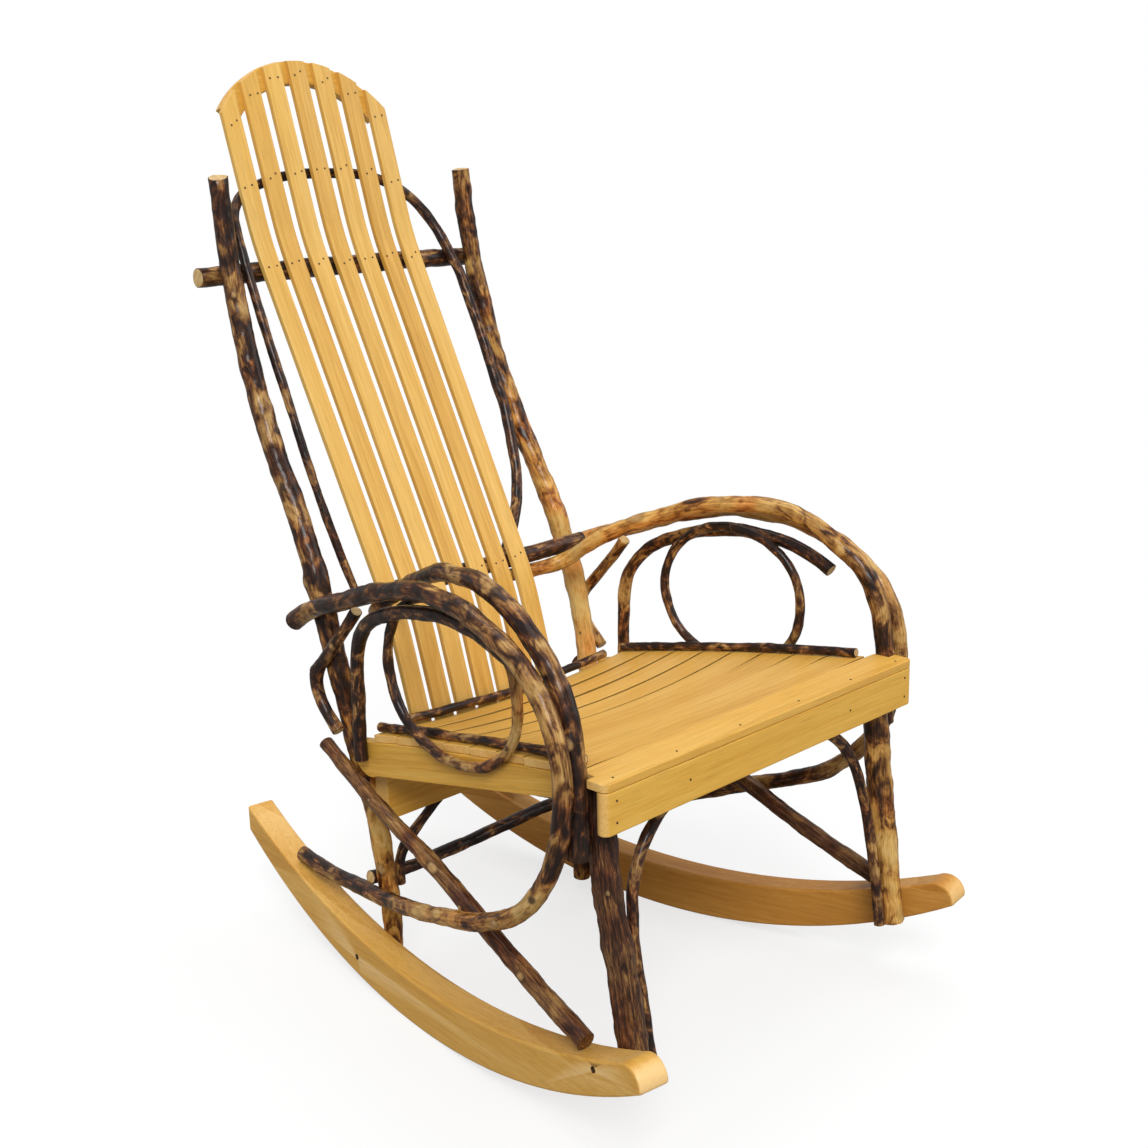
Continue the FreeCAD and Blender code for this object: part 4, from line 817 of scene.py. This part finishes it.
def modelNail():
    deselectAll()
    bpy.ops.mesh.primitive_cylinder_add(vertices=nailSettings["sides"], radius=nailSettings["radius"],
                                        depth=nailSettings["height"], location=(0, 0, nailSettings["height"] / 4))
    nail = bpy.context.object
    bpy.ops.object.transform_apply(location=True)
    bpy.ops.object.mode_set(mode="EDIT")
    bpy.ops.mesh.select_all(action="DESELECT")
    backToObject()
    for face in nail.data.polygons:
        face.select = face.normal.z > 0.9
    bpy.ops.object.mode_set(mode="EDIT")
    bpy.ops.mesh.inset(thickness=nailSettings["rim"], depth=nailSettings["crown"])
    backToObject()
    nail.data.materials.append(ironAndHoleShade)
    return nail


def driveNail(master, board, origin, way):
    # a nail goes in where a line from origin meets the board
    hit, spot, normal, _ = board.ray_cast(origin, way)
    if not hit:
        return []
    copy = bpy.data.objects.new("nail", master.data.copy())
    bpy.context.scene.collection.objects.link(copy)
    turn = Vector(normal).to_track_quat("Z", "Y").to_matrix().to_4x4()
    copy.data.transform(Matrix.Translation(spot) @ turn)
    return [copy]


def paintHoleIronAndShade(board):
    # a sunk screw's hole has the screw's dark iron at its bottom, and the same dark colour on its walls as painted
    # shade
    board.data.materials.append(ironAndHoleShade)
    within = 1.02 * rockerHoles["radius"]
    for face in board.data.polygons:
        if any(math.dist(face.center[1:], spot) < within for spot in rockerHoles["places"]):
            face.material_index = 1


def joinInto(board, extras):
    deselectAll()
    for extra in extras:
        extra.select_set(True)
    board.select_set(True)
    bpy.context.view_layer.objects.active = board
    bpy.ops.object.join()


# a cut for a nail takes in the whole section, and the hoop's arch is above its shoulder
wholeReach = 9
hoopShoulder = 0.85


def middleAt(nodeName, z):
    # middle of a back slat at height z
    triangles = trianglesOf(nodes[nodeName])
    return cutAcross(triangles, np.array([0, 0, z]), np.array([0, 0, 1.0]), wholeReach)[0]


def hoopHeight(x):
    # height of the hoop's top at x
    hoop = trianglesOf(nodes["back_hoop"])
    upper = hoop[hoop[:, :, 2].min(axis=1) > hoopShoulder]
    return cutAcross(upper, np.array([x, 0, 0]), np.array([1.0, 0, 0]), wholeReach)[0][2]


master = modelNail()
nailCount = 0
for nodeName, board in boardPieces.items():
    low, high = (Vector(corner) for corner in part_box(nodeName))
    driven = []
    if nodeName.startswith("back_slat"):
        middleX, middleZ = crown["middle"]
        headX = middleAt(nodeName, high.z - nailSettings["headDrop"])[0]
        archZ = middleZ + math.sqrt((crown["reach"] - nailSettings["inset"]) ** 2 - (headX - middleX) ** 2)
        for z in (archZ, hoopHeight(headX) + nailSettings["lead"], *nailSettings["barHeights"]):
            x = middleAt(nodeName, z)[0]
            for aside in (-nailSettings["aside"], nailSettings["aside"]):
                stray = nailSettings["stray"] * math.sin(5.3 * len(driven) + 40 * headX)
                drop = nailSettings["tilt"] * aside - nailSettings["strayDown"] * stray
                driven += driveNail(master, board, (x + aside + stray, -farOut, z + drop), backWay)
    elif nodeName == "seat_slat_1":
        for x in nailSettings["frontSlat"]["x"]:
            driven += driveNail(master, board, (x, low.y + nailSettings["frontSlat"]["fromEdge"], farOut), downWay)
    elif nodeName.startswith("seat_slat"):
        for x in (low.x + nailSettings["seatSlatEnd"], high.x - nailSettings["seatSlatEnd"]):
            driven += driveNail(master, board, (x, (low.y + high.y) / 2, farOut), downWay)
    elif nodeName == "front_apron":
        for x, z in nailSettings["apron"]:
            driven += driveNail(master, board, (x, -farOut, z), backWay)
    elif nodeName.endswith("rocker"):
        # the rockers' screw holes get dark iron at the bottom and painted shade on the walls
        paintHoleIronAndShade(board)
    if driven:
        joinInto(board, driven)
        shadeByAngle(board, boardShadeAngle)
        nailCount += len(driven)
bpy.data.objects.remove(master, do_unlink=True)
print("nails driven:", nailCount)


# the floor is pale to look at but throws little light back up, as ground does out of doors
floorSettings = {"size": 60.0, "pale": (0.90, 0.90, 0.895), "cloud": 1.01, "cloudScale": 3.0,
                 "bounce": (0.30, 0.29, 0.27), "glow": 0.70, "fade": (0.6, 1.8)}
deselectAll()
bpy.ops.mesh.primitive_plane_add(size=floorSettings["size"], location=(0, 0, 0))
floor = bpy.context.object
floor.name = "floor"
floorMaterial, floorTree, floorShader = newMaterial("pale floor", Roughness=0.9, Specular_IOR_Level=0.1)
floorPlace = addNode(floorTree, "ShaderNodeTexCoord", (-700, 0)).outputs["Object"]
floorNoise = noiseNode(floorTree, (-500, 0), floorPlace, floorSettings["cloudScale"])
floorPaler = tuple(c * floorSettings["cloud"] for c in floorSettings["pale"])
floorColour = rampNode(floorTree, (-300, 0), floorNoise, tuple(zip(noiseRange, (floorSettings["pale"], floorPaler))))
floorTree.links.new(floorColour, floorShader.inputs["Base Color"])
floorBounce = addNode(floorTree, "ShaderNodeBsdfDiffuse", (0, -300), {"Color": (*floorSettings["bounce"], 1)})
floorSeen = addNode(floorTree, "ShaderNodeLightPath", (0, 400))
# the floor fades to the white of the room round it
floorReach = addNode(floorTree, "ShaderNodeVectorMath", (-500, -600), {0: floorPlace}, operation="LENGTH")
floorFade = rangeNode(floorTree, (-300, -600), floorReach.outputs["Value"], floorSettings["fade"], (0, 1),
                      interpolation_type="SMOOTHSTEP")
floorWhite = addNode(floorTree, "ShaderNodeEmission", (0, -600), {"Color": (1, 1, 1, 1), "Strength": 1.0})
floorGlow = rangeNode(floorTree, (-100, -400), floorFade, (0, 1), (floorSettings["glow"], 1))
floorFaded = mixShaders(floorTree, (200, -200), floorGlow, floorShader.outputs[0], floorWhite.outputs[0])
floorMix = mixShaders(floorTree, (400, 0), floorSeen.outputs["Is Camera Ray"], floorBounce.outputs[0], floorFaded)
floorTree.links.new(floorMix, floorTree.nodes["Material Output"].inputs["Surface"])
floor.data.materials.append(floorMaterial)

lightTarget = Vector((0, 0, 0.5))
lightSettings = {
    "key": {"place": (-3.0, -3.4, 4.6), "angle": 25, "power": 2.05},
    "fill": {"place": (3.0, -2.0, 2.6), "angle": 40, "power": 0.6},
    "top": {"place": (0.3, 0.8, 5.0), "angle": 45, "power": 0.85},
}
for lightName, values in lightSettings.items():
    bpy.ops.object.light_add(type="SUN", location=values["place"])
    light = bpy.context.object
    light.name = lightName
    light.data.angle = math.radians(values["angle"])
    light.data.energy = values["power"]
    light.rotation_euler = (lightTarget - light.location).to_track_quat("-Z", "Y").to_euler()

# the room lights softly but looks white
skySettings = {"colour": (0.96, 0.98, 1, 1), "power": 0.48, "seen": (1, 1, 1, 1)}
world = bpy.data.worlds.new("studio")
world.use_nodes = True
sky = world.node_tree
skySeen = addNode(sky, "ShaderNodeLightPath", (-400, 300))
skyLight = addNode(sky, "ShaderNodeBackground", (-200, 100),
                   {"Color": skySettings["colour"], "Strength": skySettings["power"]})
skyWhite = addNode(sky, "ShaderNodeBackground", (-200, -100), {"Color": skySettings["seen"], "Strength": 1.0})
skyMix = mixShaders(sky, (100, 100), skySeen.outputs["Is Camera Ray"], skyLight.outputs[0], skyWhite.outputs[0])
sky.links.new(skyMix, sky.nodes["World Output"].inputs["Surface"])
bpy.context.scene.world = world
bpy.context.scene.view_settings.view_transform = "Standard"

# the camera stands where the photograph was taken from, with its angles in radians and its lens in mm
cameraSettings = {"place": (-1.406, -1.4755, 1.081), "yaw": 0.78383, "pitch": 0.25744, "roll": 0.02391,
                  "lens": 50.5, "sensor": 36}
yaw, pitch, roll = cameraSettings["yaw"], cameraSettings["pitch"], cameraSettings["roll"]
ahead = Vector((math.sin(yaw) * math.cos(pitch), math.cos(yaw) * math.cos(pitch), -math.sin(pitch)))
levelRight = Vector((math.cos(yaw), -math.sin(yaw), 0))
levelDown = ahead.cross(levelRight)
right = levelRight * math.cos(roll) + levelDown * math.sin(roll)
down = levelDown * math.cos(roll) - levelRight * math.sin(roll)
bpy.ops.object.camera_add(location=cameraSettings["place"])
camera = bpy.context.object
camera.rotation_euler = Matrix((right, -down, -ahead)).transposed().to_euler()
camera.data.lens = cameraSettings["lens"]
camera.data.sensor_width = cameraSettings["sensor"]
camera.data.dof.use_dof = False
bpy.context.scene.camera = camera
deselectAll()
